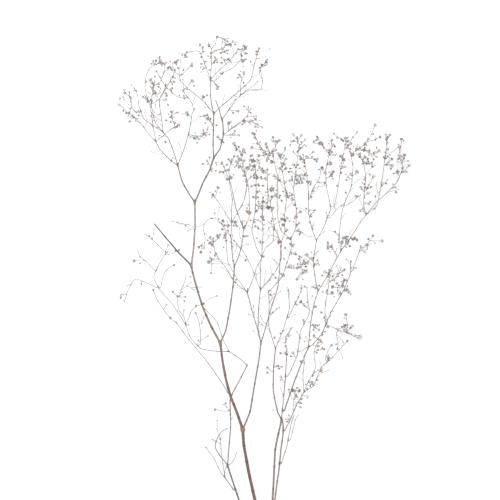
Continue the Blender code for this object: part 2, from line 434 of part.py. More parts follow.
def smooth(points, spacing):
    """Points about a spacing apart on a line that bends softly through some points."""
    ends = [points[0] * 2 - points[1]] + points + [points[-1] * 2 - points[-2]]
    line = [points[0]]
    for before, start, end, after in zip(ends, ends[1:], ends[2:], ends[3:]):
        leave = (end - before) * FLOW
        arrive = (after - start) * FLOW
        count = max(1, round((end - start).length / spacing))
        for i in range(1, count + 1):
            t = i / count
            near = start * (1 + 2 * t) + leave * t
            far = end * (3 - 2 * t) - arrive * (1 - t)
            line.append(near * (1 - t) ** 2 + far * t ** 2)
    return line


def route_line(route, root, lift):
    """A route's stations in space: its smooth line in plan, rising evenly from its root to its tip."""
    flat = [in_plan(x, y) for x, y in route.line]
    tip_height = max(route.height_mm + lift, 1.0) * MM
    if root is None:
        return [Vector((p.x, p.y, tip_height)) for p in flat]
    stations = smooth([Vector((root.x, root.y, 0.0))] + flat, STATION_SPACING)
    flat = stations[1:]
    lengths = [(b - a).length for a, b in zip(stations, stations[1:])]
    walked = 0.0
    points = [root.copy()]
    for place, length in zip(flat, lengths):
        walked += length
        points.append(Vector((place.x, place.y, root.z + (tip_height - root.z) * walked / sum(lengths))))
    return points


def lay_route(name, route, parent_points, parent_node, room):
    """The tubes of one branch, at the first height where they stay clear of the other nodes."""
    root = None if parent_points is None else nearest_on(parent_points, in_plan(*route.line[0]))
    for lift in LIFTS:
        points = route_line(route, root, lift)
        count = len(points) - 1
        radii = [route.root_mm + (route.tip_mm - route.root_mm) * i / count for i in range(count + 1)]
        if parent_node in (None, route.node):
            if all(room.is_free(p, r, route.node) for p, r in along(points, radii)[4:]):
                return points, [Tube(route.node, name, points, radii)]
            continue
        for stub_length in STUB_LENGTHS:
            head, tail = cut_at(points, radii, stub_length)
            if not all(room.is_free(p, r, parent_node) for p, r in along(*head)):
                continue
            if all(room.is_free(p, r, route.node) for p, r in along(*tail)):
                return points, [Tube(parent_node, name, *head), Tube(route.node, name, *tail)]
    raise ValueError(f"no clear height for a branch of {route.node} at {route.line[0]}")


def lay_routes(room):
    """Every branch, laid in turn on the branch it grows from."""
    laid = {}
    tubes = []
    for name, route in ROUTES.items():
        parent_points = laid.get(route.parent)
        parent_node = ROUTES[route.parent].node if route.parent else None
        points, parts = lay_route(name, route, parent_points, parent_node, room)
        laid[name] = points
        for tube in parts:
            tubes.append(tube)
            for place, radius in along(tube.points, tube.radii):
                room.take(place, radius, tube.node)
    return laid, tubes


def sprouting_places(laid):
    """Where stalks can grow: stations along the sprays' branches, with the direction of growth."""
    places = []
    for name, points in laid.items():
        if ROUTES[name].node == MAIN or name in BARE_ROUTES:
            continue
        for place, _ in along(points, [1.0] * len(points), 4 * SAMPLE_STEP)[2:]:
            places.append((place, ROUTES[name].node))
        places.append((points[-1], ROUTES[name].node))
    return [(place, node, heading_at(laid, place)) for place, node in places]


def heading_at(laid, place):
    """The direction of growth of the branch that passes nearest a place."""
    best = None
    for points in laid.values():
        for start, end in zip(points, points[1:]):
            gap = ((start + end) / 2 - place).length
            if best is None or gap < best[0]:
                best = (gap, (end - start).normalized())
    return best[1]


def reach(place, heading, target):
    """How hard a target is to reach from a place: its distance in plan, more where growth turns back."""
    run = (target - place).xy
    ahead = heading.xy
    turn = run.dot(ahead) / max(run.length * ahead.length, 1e-9)
    return run.length * (1 + BACKWARD_COST * (1 - turn))


def stand_bloom(root, target, width, resting, node, room, draw):
    """The centre of a floret over its place in plan, at a drawn height that is clear of other nodes."""
    spread = max((target - root).xy.length, 3 * MM)
    for attempt in range(40):
        height = root.z + draw.uniform(-0.7, 0.9) * spread * (1 + attempt / 12)
        height = max(height, width * 0.62)
        if resting:
            height = width * 0.4 - TRIM_DEPTH
        centre = Vector((target.x, target.y, height))
        stalk = along([root, centre], [STALK_RADIUS / MM] * 2, 2 * SAMPLE_STEP)
        clear = room.is_free(centre, width * 0.56, node)
        if clear and all(room.is_free(p, r, node) for p, r in stalk[1:-1]):
            return centre
        if resting:
            return centre
    return None


def grow_blooms(laid, room, draw):
    """Every floret on a stalk: the one that is easiest to reach is grown first, from what stands then."""
    places = sprouting_places(laid)
    waiting = []
    for size, spots in FLORETS.items():
        for spot in spots:
            target = in_plan(*spot)
            costs = [(reach(place, heading, target), i) for i, (place, _, heading) in enumerate(places)]
            waiting.append([min(costs), target, FLORET_WIDTHS[size], spot in RESTING])
    blooms = []
    while waiting:
        waiting.sort(key=lambda item: item[0][0])
        (_, index), target, width, resting = waiting.pop(0)
        root, node, _ = places[index]
        width *= draw.uniform(0.9, 1.1)
        centre = stand_bloom(root, target, width, resting, node, room, draw)
        if centre is None:
            continue
        blooms.append(Bloom(node, root, centre, width, draw.uniform(0, math.tau)))
        room.take(centre, width * 0.56, node)
        for place, radius in along([root, centre], [STALK_RADIUS / MM] * 2):
            room.take(place, radius, node)
        fork = root.lerp(centre, FORK_SHARE)
        heading = (centre - root).normalized()
        places.append((fork, node, heading))
        for item in waiting:
            item[0] = min(item[0], (reach(fork, heading, item[1]), len(places) - 1))
    return blooms


def clear_scene():
    for thing in list(bpy.data.objects):
        bpy.data.objects.remove(thing, do_unlink=True)


def make_collection(name):
    collection = bpy.data.collections.new(name)
    bpy.context.scene.collection.children.link(collection)
    return collection


def add_object(name, data, collection):
    thing = bpy.data.objects.new(name, data)
    collection.objects.link(thing)
    return thing


def make_material(name, colour):
    material = bpy.data.materials.new(name)
    material.use_nodes = True
    surface = material.node_tree.nodes["Principled BSDF"]
    surface.inputs["Base Color"].default_value = colour
    surface.inputs["Roughness"].default_value = 0.85
    surface.inputs["Metallic"].default_value = 0.0
    return material


def make_section(name, sides, collection):
    """The section of a tube, 1 mm in radius, as a guide that curves take as their bevel."""
    curve = bpy.data.curves.new(name, "CURVE")
    spline = curve.splines.new("POLY")
    spline.points.add(sides - 1)
    for i, point in enumerate(spline.points):
        angle = math.tau * (i + 0.5) / sides
        point.co = (MM * math.cos(angle), MM * math.sin(angle), 0.0, 1.0)
    spline.use_cyclic_u = True
    section = add_object(name, curve, collection)
    section.hide_render = True
    section.display_type = "WIRE"
    return section


def make_tube(tube, sections, collection):
    """A tube as a bevelled curve with filled caps, made a closed mesh."""
    curve = bpy.data.curves.new("tube", "CURVE")
    curve.dimensions = "3D"
    curve.bevel_mode = "OBJECT"
    curve.bevel_object = sections[STEM_SIDES if max(tube.radii) > STEM_FROM_RADIUS else TWIG_SIDES]
    curve.use_fill_caps = True
    spline = curve.splines.new("POLY")
    spline.points.add(len(tube.points) - 1)
    for point, place, radius in zip(spline.points, tube.points, tube.radii):
        point.co = (*place, 1.0)
        point.radius = radius
    shape = add_object("tube", curve, collection)
    bpy.context.view_layer.update()
    mesh = bpy.data.meshes.new_from_object(shape.evaluated_get(bpy.context.evaluated_depsgraph_get()))
    solid = add_object("tube", mesh, collection)
    solid.matrix_world = shape.matrix_world
    bpy.data.objects.remove(shape, do_unlink=True)
    form = bmesh.new()
    form.from_mesh(mesh)
    bmesh.ops.remove_doubles(form, verts=form.verts, dist=0.00001)
    bmesh.ops.recalc_face_normals(form, faces=form.faces)
    form.to_mesh(mesh)
    form.free()
    return solid


def across(axis):
    """Two directions square to an axis."""
    side = axis.orthogonal().normalized()
    return side, axis.cross(side)


def ring(form, centre, sides_on, radii, turn):
    """A ring of points round a centre, in the plane of two directions."""
    side, other = sides_on
    corners = []
    for i, radius in enumerate(radii):
        angle = turn + math.tau * i / len(radii)
        offset = side * (radius * math.cos(angle)) + other * (radius * math.sin(angle))
        corners.append(form.verts.new(centre + offset))
    return corners


def fan(form, tip, corners, outward):
    """Triangles between a tip and a ring, wound to face outward along the ring's turning."""
    for first, second in zip(corners, corners[1:] + corners[:1]):
        form.faces.new((first, second, tip) if outward else (second, first, tip))


def make_bloom(bloom, collection):
    """A floret on its stalk, as one loft: a three-sided stalk, a calyx, a star of petals and a crown."""
    stalk = (bloom.centre - bloom.root).normalized()
    axis = (stalk + Vector((0.0, 0.0, 0.7))).normalized()
    form = bmesh.new()
    facing = across(stalk)
    low = ring(form, bloom.root, facing, [STALK_RADIUS * ROOT_TAPER] * 3, 0.0)
    calyx = ring(form, bloom.centre - stalk * bloom.width * 0.4, facing, [STALK_RADIUS * 1.3] * 3, 0.0)
    flat = across(axis)
    reach_out = [bloom.width * (0.5, 0.36)[i % 2] for i in range(2 * PETALS)]
    star = ring(form, bloom.centre, flat, reach_out, bloom.turn)
    form.faces.new(reversed(low))
    for i in range(3):
        form.faces.new((low[i], low[(i + 1) % 3], calyx[(i + 1) % 3], calyx[i]))
    fan(form, form.verts.new(bloom.centre + axis * bloom.width * 0.36), star, True)
    bottom_edges = [edge for edge in form.edges if len(edge.link_faces) == 1]
    bmesh.ops.bridge_loops(form, edges=bottom_edges)
    bmesh.ops.triangulate(form, faces=form.faces)
    bmesh.ops.recalc_face_normals(form, faces=form.faces)
    mesh = bpy.data.meshes.new("bloom")
    form.to_mesh(mesh)
    form.free()
    return add_object("bloom", mesh, collection)


def apply_boolean(body, operation, collection):
    """Joins the collection's solids to a body, or cuts them from it, and keeps the result."""
    joint = body.modifiers.new("joint", "BOOLEAN")
    joint.operation = operation
    joint.solver = "MANIFOLD"
    joint.operand_type = "COLLECTION"
    joint.collection = collection
    bpy.context.view_layer.update()
    graph = bpy.context.evaluated_depsgraph_get()
    mesh = bpy.data.meshes.new_from_object(body.evaluated_get(graph))
    body.modifiers.clear()
    body.data = mesh


def face_groups(form):
    """The faces of a form, in groups that hang together by their edges, the largest last."""
    left = set(form.faces)
    groups = []
    while left:
        waiting = [left.pop()]
        group = list(waiting)
        while waiting:
            for edge in waiting.pop().edges:
                for face in edge.link_faces:
                    if face in left:
                        left.discard(face)
                        waiting.append(face)
                        group.append(face)
        groups.append(group)
    return sorted(groups, key=len)


def drop_scraps(mesh):
    """Keeps a mesh's largest body; true where it stays closed with its nearly equal corners welded."""
    form = bmesh.new()
    form.from_mesh(mesh)
    bmesh.ops.triangulate(form, faces=form.faces)
    for group in face_groups(form)[:-1]:
        bmesh.ops.delete(form, geom=group, context="FACES")
    form.to_mesh(mesh)
    bmesh.ops.remove_doubles(form, verts=form.verts, dist=WELD)
    closed = all(len(edge.link_faces) == 2 for edge in form.edges) and len(face_groups(form)) == 1
    form.free()
    return closed


def slim(body):
    """Takes out the slivers that the union leaves round each fork, with as few triangles as stay closed."""
    for share in KEPT_SHARES:
        thinner = body.modifiers.new("slimmer", "DECIMATE")
        thinner.ratio = share
        bpy.context.view_layer.update()
        graph = bpy.context.evaluated_depsgraph_get()
        mesh = bpy.data.meshes.new_from_object(body.evaluated_get(graph))
        body.modifiers.clear()
        if drop_scraps(mesh):
            body.data = mesh
            return


def build_node(name, tubes, blooms, sections, parts, material, table):
    """One node: its first tube, with every other tube and floret joined to it."""
    pieces = make_collection(name + "_pieces")
    body = make_tube(tubes[0], sections, parts)
    body.name = name
    for tube in tubes[1:]:
        make_tube(tube, sections, pieces)
    for bloom in blooms:
        make_bloom(bloom, pieces)
    apply_boolean(body, "UNION", pieces)
    for piece in list(pieces.objects):
        bpy.data.objects.remove(piece, do_unlink=True)
    bpy.data.collections.remove(pieces)
    drop_scraps(body.data)
    if blooms:
        slim(body)
    if min(vertex.co.z for vertex in body.data.vertices) < 0:
        apply_boolean(body, "DIFFERENCE", table)
    body.data.materials.clear()
    body.data.materials.append(material)


def make_table(collection):
    """The surface that the stem lies on, as a cutter that presses its lowest points flat."""
    bpy.ops.mesh.primitive_cube_add(size=1.0, location=(0.0, 0.0, -0.5))
    table = bpy.context.object
    table.name = "table"
    for owner in list(table.users_collection):
        owner.objects.unlink(table)
    collection.objects.link(table)
    table.hide_render = True
    table.display_type = "WIRE"


def main():
    clear_scene()
    parts = make_collection("gypsophila_stem")
    guides = make_collection("guides")
    cutters = make_collection("cutters")
    sections = {sides: make_section(f"section_{sides}", sides, guides) for sides in (TWIG_SIDES, STEM_SIDES)}
    make_table(cutters)
    room = Room()
    laid, tubes = lay_routes(room)
    blooms = grow_blooms(laid, room, random.Random(SEED))
    stem = make_material("stem_bark", STEM_COLOUR)
    spray = make_material("dried_florets", SPRAY_COLOUR)
    for node in dict.fromkeys(tube.node for tube in tubes):
        own_tubes = [tube for tube in tubes if tube.node == node]
        own_blooms = [bloom for bloom in blooms if bloom.node == node]
        build_node(node, own_tubes, own_blooms, sections, parts, stem if node == MAIN else spray, cutters)


main()
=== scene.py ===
"""The looks of a dried gypsophila stem that lies on a white surface, seen from above.

The branches and florets repeat the plan of the solids: the same routes, the same seeded draws and so
the same places. Each node is then dressed with one finer mesh: round, knotted twigs with small bracts,
hair-fine stalks, double florets of crumpled petals in a toothed calyx, closed buds and faint side twigs.
"""

import json
import math
import random
from collections import namedtuple

import bpy
import numpy as np
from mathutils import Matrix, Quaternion, Vector, kdtree

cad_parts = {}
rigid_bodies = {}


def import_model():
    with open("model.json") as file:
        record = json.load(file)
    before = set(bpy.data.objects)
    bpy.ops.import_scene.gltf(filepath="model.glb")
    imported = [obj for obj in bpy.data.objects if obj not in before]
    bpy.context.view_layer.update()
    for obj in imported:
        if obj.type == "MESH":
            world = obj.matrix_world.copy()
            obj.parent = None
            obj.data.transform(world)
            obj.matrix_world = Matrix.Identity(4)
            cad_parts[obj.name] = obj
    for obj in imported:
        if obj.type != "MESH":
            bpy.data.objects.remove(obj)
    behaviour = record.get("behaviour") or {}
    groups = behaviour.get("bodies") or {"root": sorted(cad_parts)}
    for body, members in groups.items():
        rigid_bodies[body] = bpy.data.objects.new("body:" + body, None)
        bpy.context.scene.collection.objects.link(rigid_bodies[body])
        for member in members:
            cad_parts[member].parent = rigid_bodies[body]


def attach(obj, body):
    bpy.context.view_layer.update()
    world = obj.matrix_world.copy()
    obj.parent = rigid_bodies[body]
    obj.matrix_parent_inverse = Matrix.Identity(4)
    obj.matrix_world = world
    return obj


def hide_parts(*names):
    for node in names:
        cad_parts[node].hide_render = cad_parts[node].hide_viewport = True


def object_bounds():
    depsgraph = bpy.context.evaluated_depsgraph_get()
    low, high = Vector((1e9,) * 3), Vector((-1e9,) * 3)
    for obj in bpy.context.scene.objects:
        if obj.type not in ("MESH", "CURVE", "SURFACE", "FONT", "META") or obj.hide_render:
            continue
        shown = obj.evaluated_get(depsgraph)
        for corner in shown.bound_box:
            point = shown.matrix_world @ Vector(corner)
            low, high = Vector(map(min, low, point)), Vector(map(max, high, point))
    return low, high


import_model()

cad_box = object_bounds()
MM = 0.001
TINY = 1e-9

# The plan of the solids, in the photograph's 500-pixel frame. PLAN_CENTRE lies over the origin.
PLAN_UNIT = 1.1 * MM
PLAN_CENTRE = (264.0, 327.0)
FLORET_WIDTHS = {"full": 4.7 * MM, "large": 5.6 * MM, "small": 3.3 * MM, "tiny": 2.4 * MM}
STUB_LENGTHS = (6 * MM, 8 * MM, 10 * MM, 13 * MM, 17 * MM, 22 * MM)
JOINT_GAP = 0.3 * MM
CLEARANCE = 0.4 * MM
STALK_RADIUS = 0.36 * MM
TRIM_DEPTH = 0.15 * MM
SAMPLE_STEP = 1.5 * MM
STATION_SPACING = 15 * MM
FLOW = 0.3
CELL = 7 * MM
LIFTS = (0, 4, -4, 8, -8, 12, -12, 16, -16, 22, -22, 28, 36)
BACKWARD_COST = 1.3
FORK_SHARE = 0.55
SEED = 1606
ROOT_BALLS = 4
CUT_SHARES = (0.1, 0.9)
LEAST_TIP_MM = 1.0

# How the florets stand. The heights and the room are shares of a floret's width.
WIDTH_DRAW = (0.9, 1.1)
LEAST_HEIGHT = 0.62
RESTING_HEIGHT = 0.4
BLOOM_ROOM = 0.56
LEAST_RUN = 3 * MM
RISE_DRAW = (-0.7, 0.9)
STAND_TRIES = 40
TRIES_TO_DOUBLE = 12

# The finer branches. Radii are in mm, as they are in the routes.
BARK, PETAL = 0, 1
ODD_WAY = (0.31, 0.17, 0.93)
GRAIN_LENGTH = 10 * MM
RIDGES = 5
RIDGE_WANDER = 90
FINE_STEP = 1.5 * MM
HAIR_RADIUS = 0.25
TRUE_FROM_RADIUS = 0.8
JOINT_OVERLAP = 0.8 * MM
KNOT_REACH = 1.3 * MM
KNOT_SWELL = 0.6
COLLAR_SWELL = 0.8
COLLAR_RANGE = 0.5
COLLAR_BRANCH = 0.7
NODE_SPACING = (13 * MM, 26 * MM)
NODE_REACH = 1.0 * MM
NODE_SWELL = 0.4
NODE_DARKNESS = 0.4
NODE_TWIG_RADIUS = 0.5
NODE_BRACT_MM = 0.8
KNOT_GIRTH = 0.9
KNOT_TINT = 0.5
GIRTH_DRAW = (0.93, 1.07)
TONE_DRAW = (0.86, 1.14)
THICK_RADIUS = 0.6
STEM_SIDES, STEM_RIDGES = 12, 0.05
TWIG_SIDES, TWIG_RIDGES = 7, 0.03
TIP_LENGTH = 0.6
TIP_RADIUS = 0.02 * MM
CUT_SIDES = 16

# The cut end of the stem: its radius as a share, and how far it stands out, in mm.
CUT_FACE = ((1.0, -0.05), (0.97, 0.05), (0.6, 0.06), (0.3, 0.03), (0.02, 0.03))

# A bract, from its foot to its point: how far along it, its breadth and its lean, as shares.
BRACT_ROWS = ((0, 0.5, 0), (0.3, 1.0, 0.08), (0.65, 0.7, 0.3), (1, 0.06, 0.62))
# Painted shade: a bract's rows darken towards its foot at the stem and lighten towards its point.
BRACT_PAINTED_SHADE, BRACT_PAINTED_SHADE_STEP = 0.86, 0.1
BRACT_FOLD = 0.16
BRACT_SEAT = 0.8
BRACT_BREADTH = 0.42
BRACT_LENGTH_DRAW = (0.8, 1.2)
BRACT_TONE_DRAW = (0.85, 1.15)
FORK_BRACT_MM = 1.6
FORK_NEAR = 4 * MM
STALK_BRACT = 1.1 * MM
BRACT_STALK = 5 * MM

# The florets' forms, about one unit wide. Each whorl: its petals, their tilt, length and width.
WHORLS = ((8, 1.4, 0.60, 0.42), (7, 1.0, 0.56, 0.36), (5, 0.6, 0.52, 0.32), (4, 0.22, 0.46, 0.26))
# Painted shade: each whorl inward is this share darker, as the floret's heart lies in shade.
WHORL_PAINTED_SHADE = 0.03
PETAL_SHARES = (0.0, 0.3, 0.58, 0.82, 1.0)
PETAL_BREADTHS = (0.22, 0.62, 1.0, 0.95, 0.55)
PETAL_ACROSS = (-1.0, -0.33, 0.33, 1.0)
# Painted shade: a petal is darkest at its claw deep in the floret and lightest near its tip.
PETAL_PAINTED_SHADES = (0.74, 0.88, 1.0, 1.05, 1.0)
PETAL_FOOT = -0.16
PETAL_CUP = 0.1
CRINKLE = 0.035
CRINKLE_ACROSS, CRINKLE_ALONG = 2.1, 1.7
CRINKLE_DRAW = (-0.4, 0.4)
RAGGED_DRAW = (-0.05, 0.05)
CURL_DRAW = (-2.0, -0.9)
CURL_START = 0.35
TILT_DRAW = (-0.16, 0.16)
PETAL_LENGTH_DRAW = (0.84, 1.08)
PETAL_WIDTH_DRAW = (0.85, 1.15)
PETAL_TURN_DRAW = (-0.2, 0.2)
PETAL_LIGHT_DRAW = (0.84, 1.1)
CALYX_SIDES = 10
CALYX_PROFILE = ((0.05, -0.47), (0.13, -0.38), (0.17, -0.24), (0.19, -0.1), (0.2, 0.02))
TOOTH_HEIGHT = 0.07
TOOTH_FLARE = 0.06
CALYX_RIBS = (-0.006, 0.012)
# Painted shade: the calyx's sunken sides and the notches between its teeth are darker than its ribs and
# teeth.
CALYX_PAINTED_SHADES = (0.8, 1.0)
BUD_SIDES = 8
BUD_PROFILE = (
    (0.12, -0.75), (0.36, -0.6), (0.5, -0.25), (0.48, 0.1), (0.34, 0.42), (0.18, 0.6), (0.02, 0.68))
BUD_TWIST = 0.12
BUD_RIBS = (0.92, 1.08)
# Painted shade: a bud is darker at its base and lighter towards its tip, one step each ring.
BUD_PAINTED_SHADE, BUD_PAINTED_SHADE_STEP = 0.8, 0.06
# Painted shade: a bud's narrower, sunken sides are darker than its wider ribs.
BUD_RIB_PAINTED_SHADES = (0.92, 1.05)
BUD_PARTS = (1, 1, 1, 1, 0, 0, 0)

# Florets, stalks and buds. FLORET_SPREAD makes the forms as wide, on average, as the solid florets.
FLORET_FORMS = 14
FLORET_SPREAD = 0.95
FLORET_SEAT = 0.42
LARGE_FROM = 1.08
PETAL_TONE_DRAW = (0.82, 1.12)
CALYX_TONE_DRAW = (0.85, 1.2)
STALK_SIDES = 5
STALK_STEP = 2.5 * MM
STALK_BOW = 0.05
STALK_DRAW = (0.92, 1.08)
STALK_FOOT, STALK_FOOT_REACH = 0.55, 0.9 * MM
STALK_TOP, STALK_TOP_POWER = 0.35, 6
FACE_UP = 0.4
BUDS_PER_STALK = (1, 1, 2, 2, 3)
DENSE_BUDS = (2, 3, 3, 4)
SPARSE_BUDS = (0, 0, 1)
DENSE_SPRAYS = ("spray_upper_left", "spray_top")
SPARSE_SPRAYS = ("spray_left", "spray_left_low", "spray_foot_left")
END_BUD_CLEARANCE = 3 * MM
BUD_WIDTHS = (1.4 * MM, 2.5 * MM)
BUD_STALKS = (2.0 * MM, 9.0 * MM)
BUD_STALK_RADIUS = 0.13 * MM
BUD_LEAN = (0.5, 1.2)
BUD_TONE_DRAW = (0.85, 1.1)
BUD_CALYX_TONE = 1.1
BUD_SEAT = 0.5
END_BUD_SEAT = 0.4
END_BUD_TONE = 0.9
BUDDING_RADIUS = 0.6
TWIG_BUD_SHARE = 0.2
BUD_EVERY = 6
LOWEST = 0.05 * MM

# Faint bare side twigs. Their tips, and the buds beside stalks, keep this room to the solids' box.
HAIR_SHARE = 0.4
HAIR_EVERY = 5
HAIR_LENGTHS = (6 * MM, 19 * MM)
HAIR_TWIG_RADIUS = 0.2 * MM
HAIR_LEAN = (0.7, 1.6)
HAIR_BOW = 0.12
HAIR_BUD_SHARE = 0.3
EDGE_ROOM = 2 * MM
FLOOR_ROOM = 1.4 * MM

# Colours, linear. A branch is wood from WOOD_RADIUS up, in mm, and turns to twig below it.
WOOD_RADIUS, WOOD_RANGE = 1.0, 0.55
TWIG_RADIUS, TWIG_RANGE = 0.4, 0.6
STEM_LOW = (0.228, 0.146, 0.124)
STEM_HIGH = (0.318, 0.264, 0.245)
TWIG = (0.255, 0.212, 0.198)
PALE_STEM = (0.440, 0.362, 0.350)
GREY_STEM = (0.185, 0.166, 0.158)
BRANCH_TONES = {"main_top": PALE_STEM, "snapped": GREY_STEM, "left_stem": GREY_STEM}
PETALS = ((0.925, 0.874, 0.866), (0.840, 0.788, 0.780), (0.945, 0.908, 0.900), (0.890, 0.850, 0.843))
TAN_PETALS = ((0.840, 0.765, 0.715), (0.830, 0.745, 0.690))
TAN_SHARE = 0.04
TAN_SHARE_LARGE = 0.4
CALYX = (0.370, 0.325, 0.300)
BRACT = (0.265, 0.220, 0.200)
PITH = (0.62, 0.55, 0.45)
PITH_RIM, PITH_RING = 0.5, 0.2
STALK_TINT_DRAW = (0, 0.5)
STALK_TOP_TINT = 0.5
BUD_STALK_TINT = 0.3
MOTTLE_RANGE = (0.3, 0.7)

# Camera and light.
PHOTO_PIXELS = 500
SENSOR = 36.0
CAMERA_HEIGHT = 12.0
CROWN_HEIGHT = 0.05
ROOM_LIGHT = 0.88
WINDOW_WATTS = 9.0
WINDOW_PLACE = (-1.1, 0.9, 1.5)
WINDOW_AIM = (0.0, 0.05, 0.0)
WINDOW_SIZE = 1.2
FLOOR_SIZE = 8.0
FLOOR_WHITE = (0.93, 0.93, 0.93, 1.0)
FLOOR_GLOW = 0.21
WHITE = (1.0, 1.0, 1.0, 1.0)

Route = namedtuple("Route", "node parent root_mm tip_mm height_mm line")
Tube = namedtuple("Tube", "node name points radii")
Bloom = namedtuple("Bloom", "node root centre width turn")

MAIN = "main_stem"

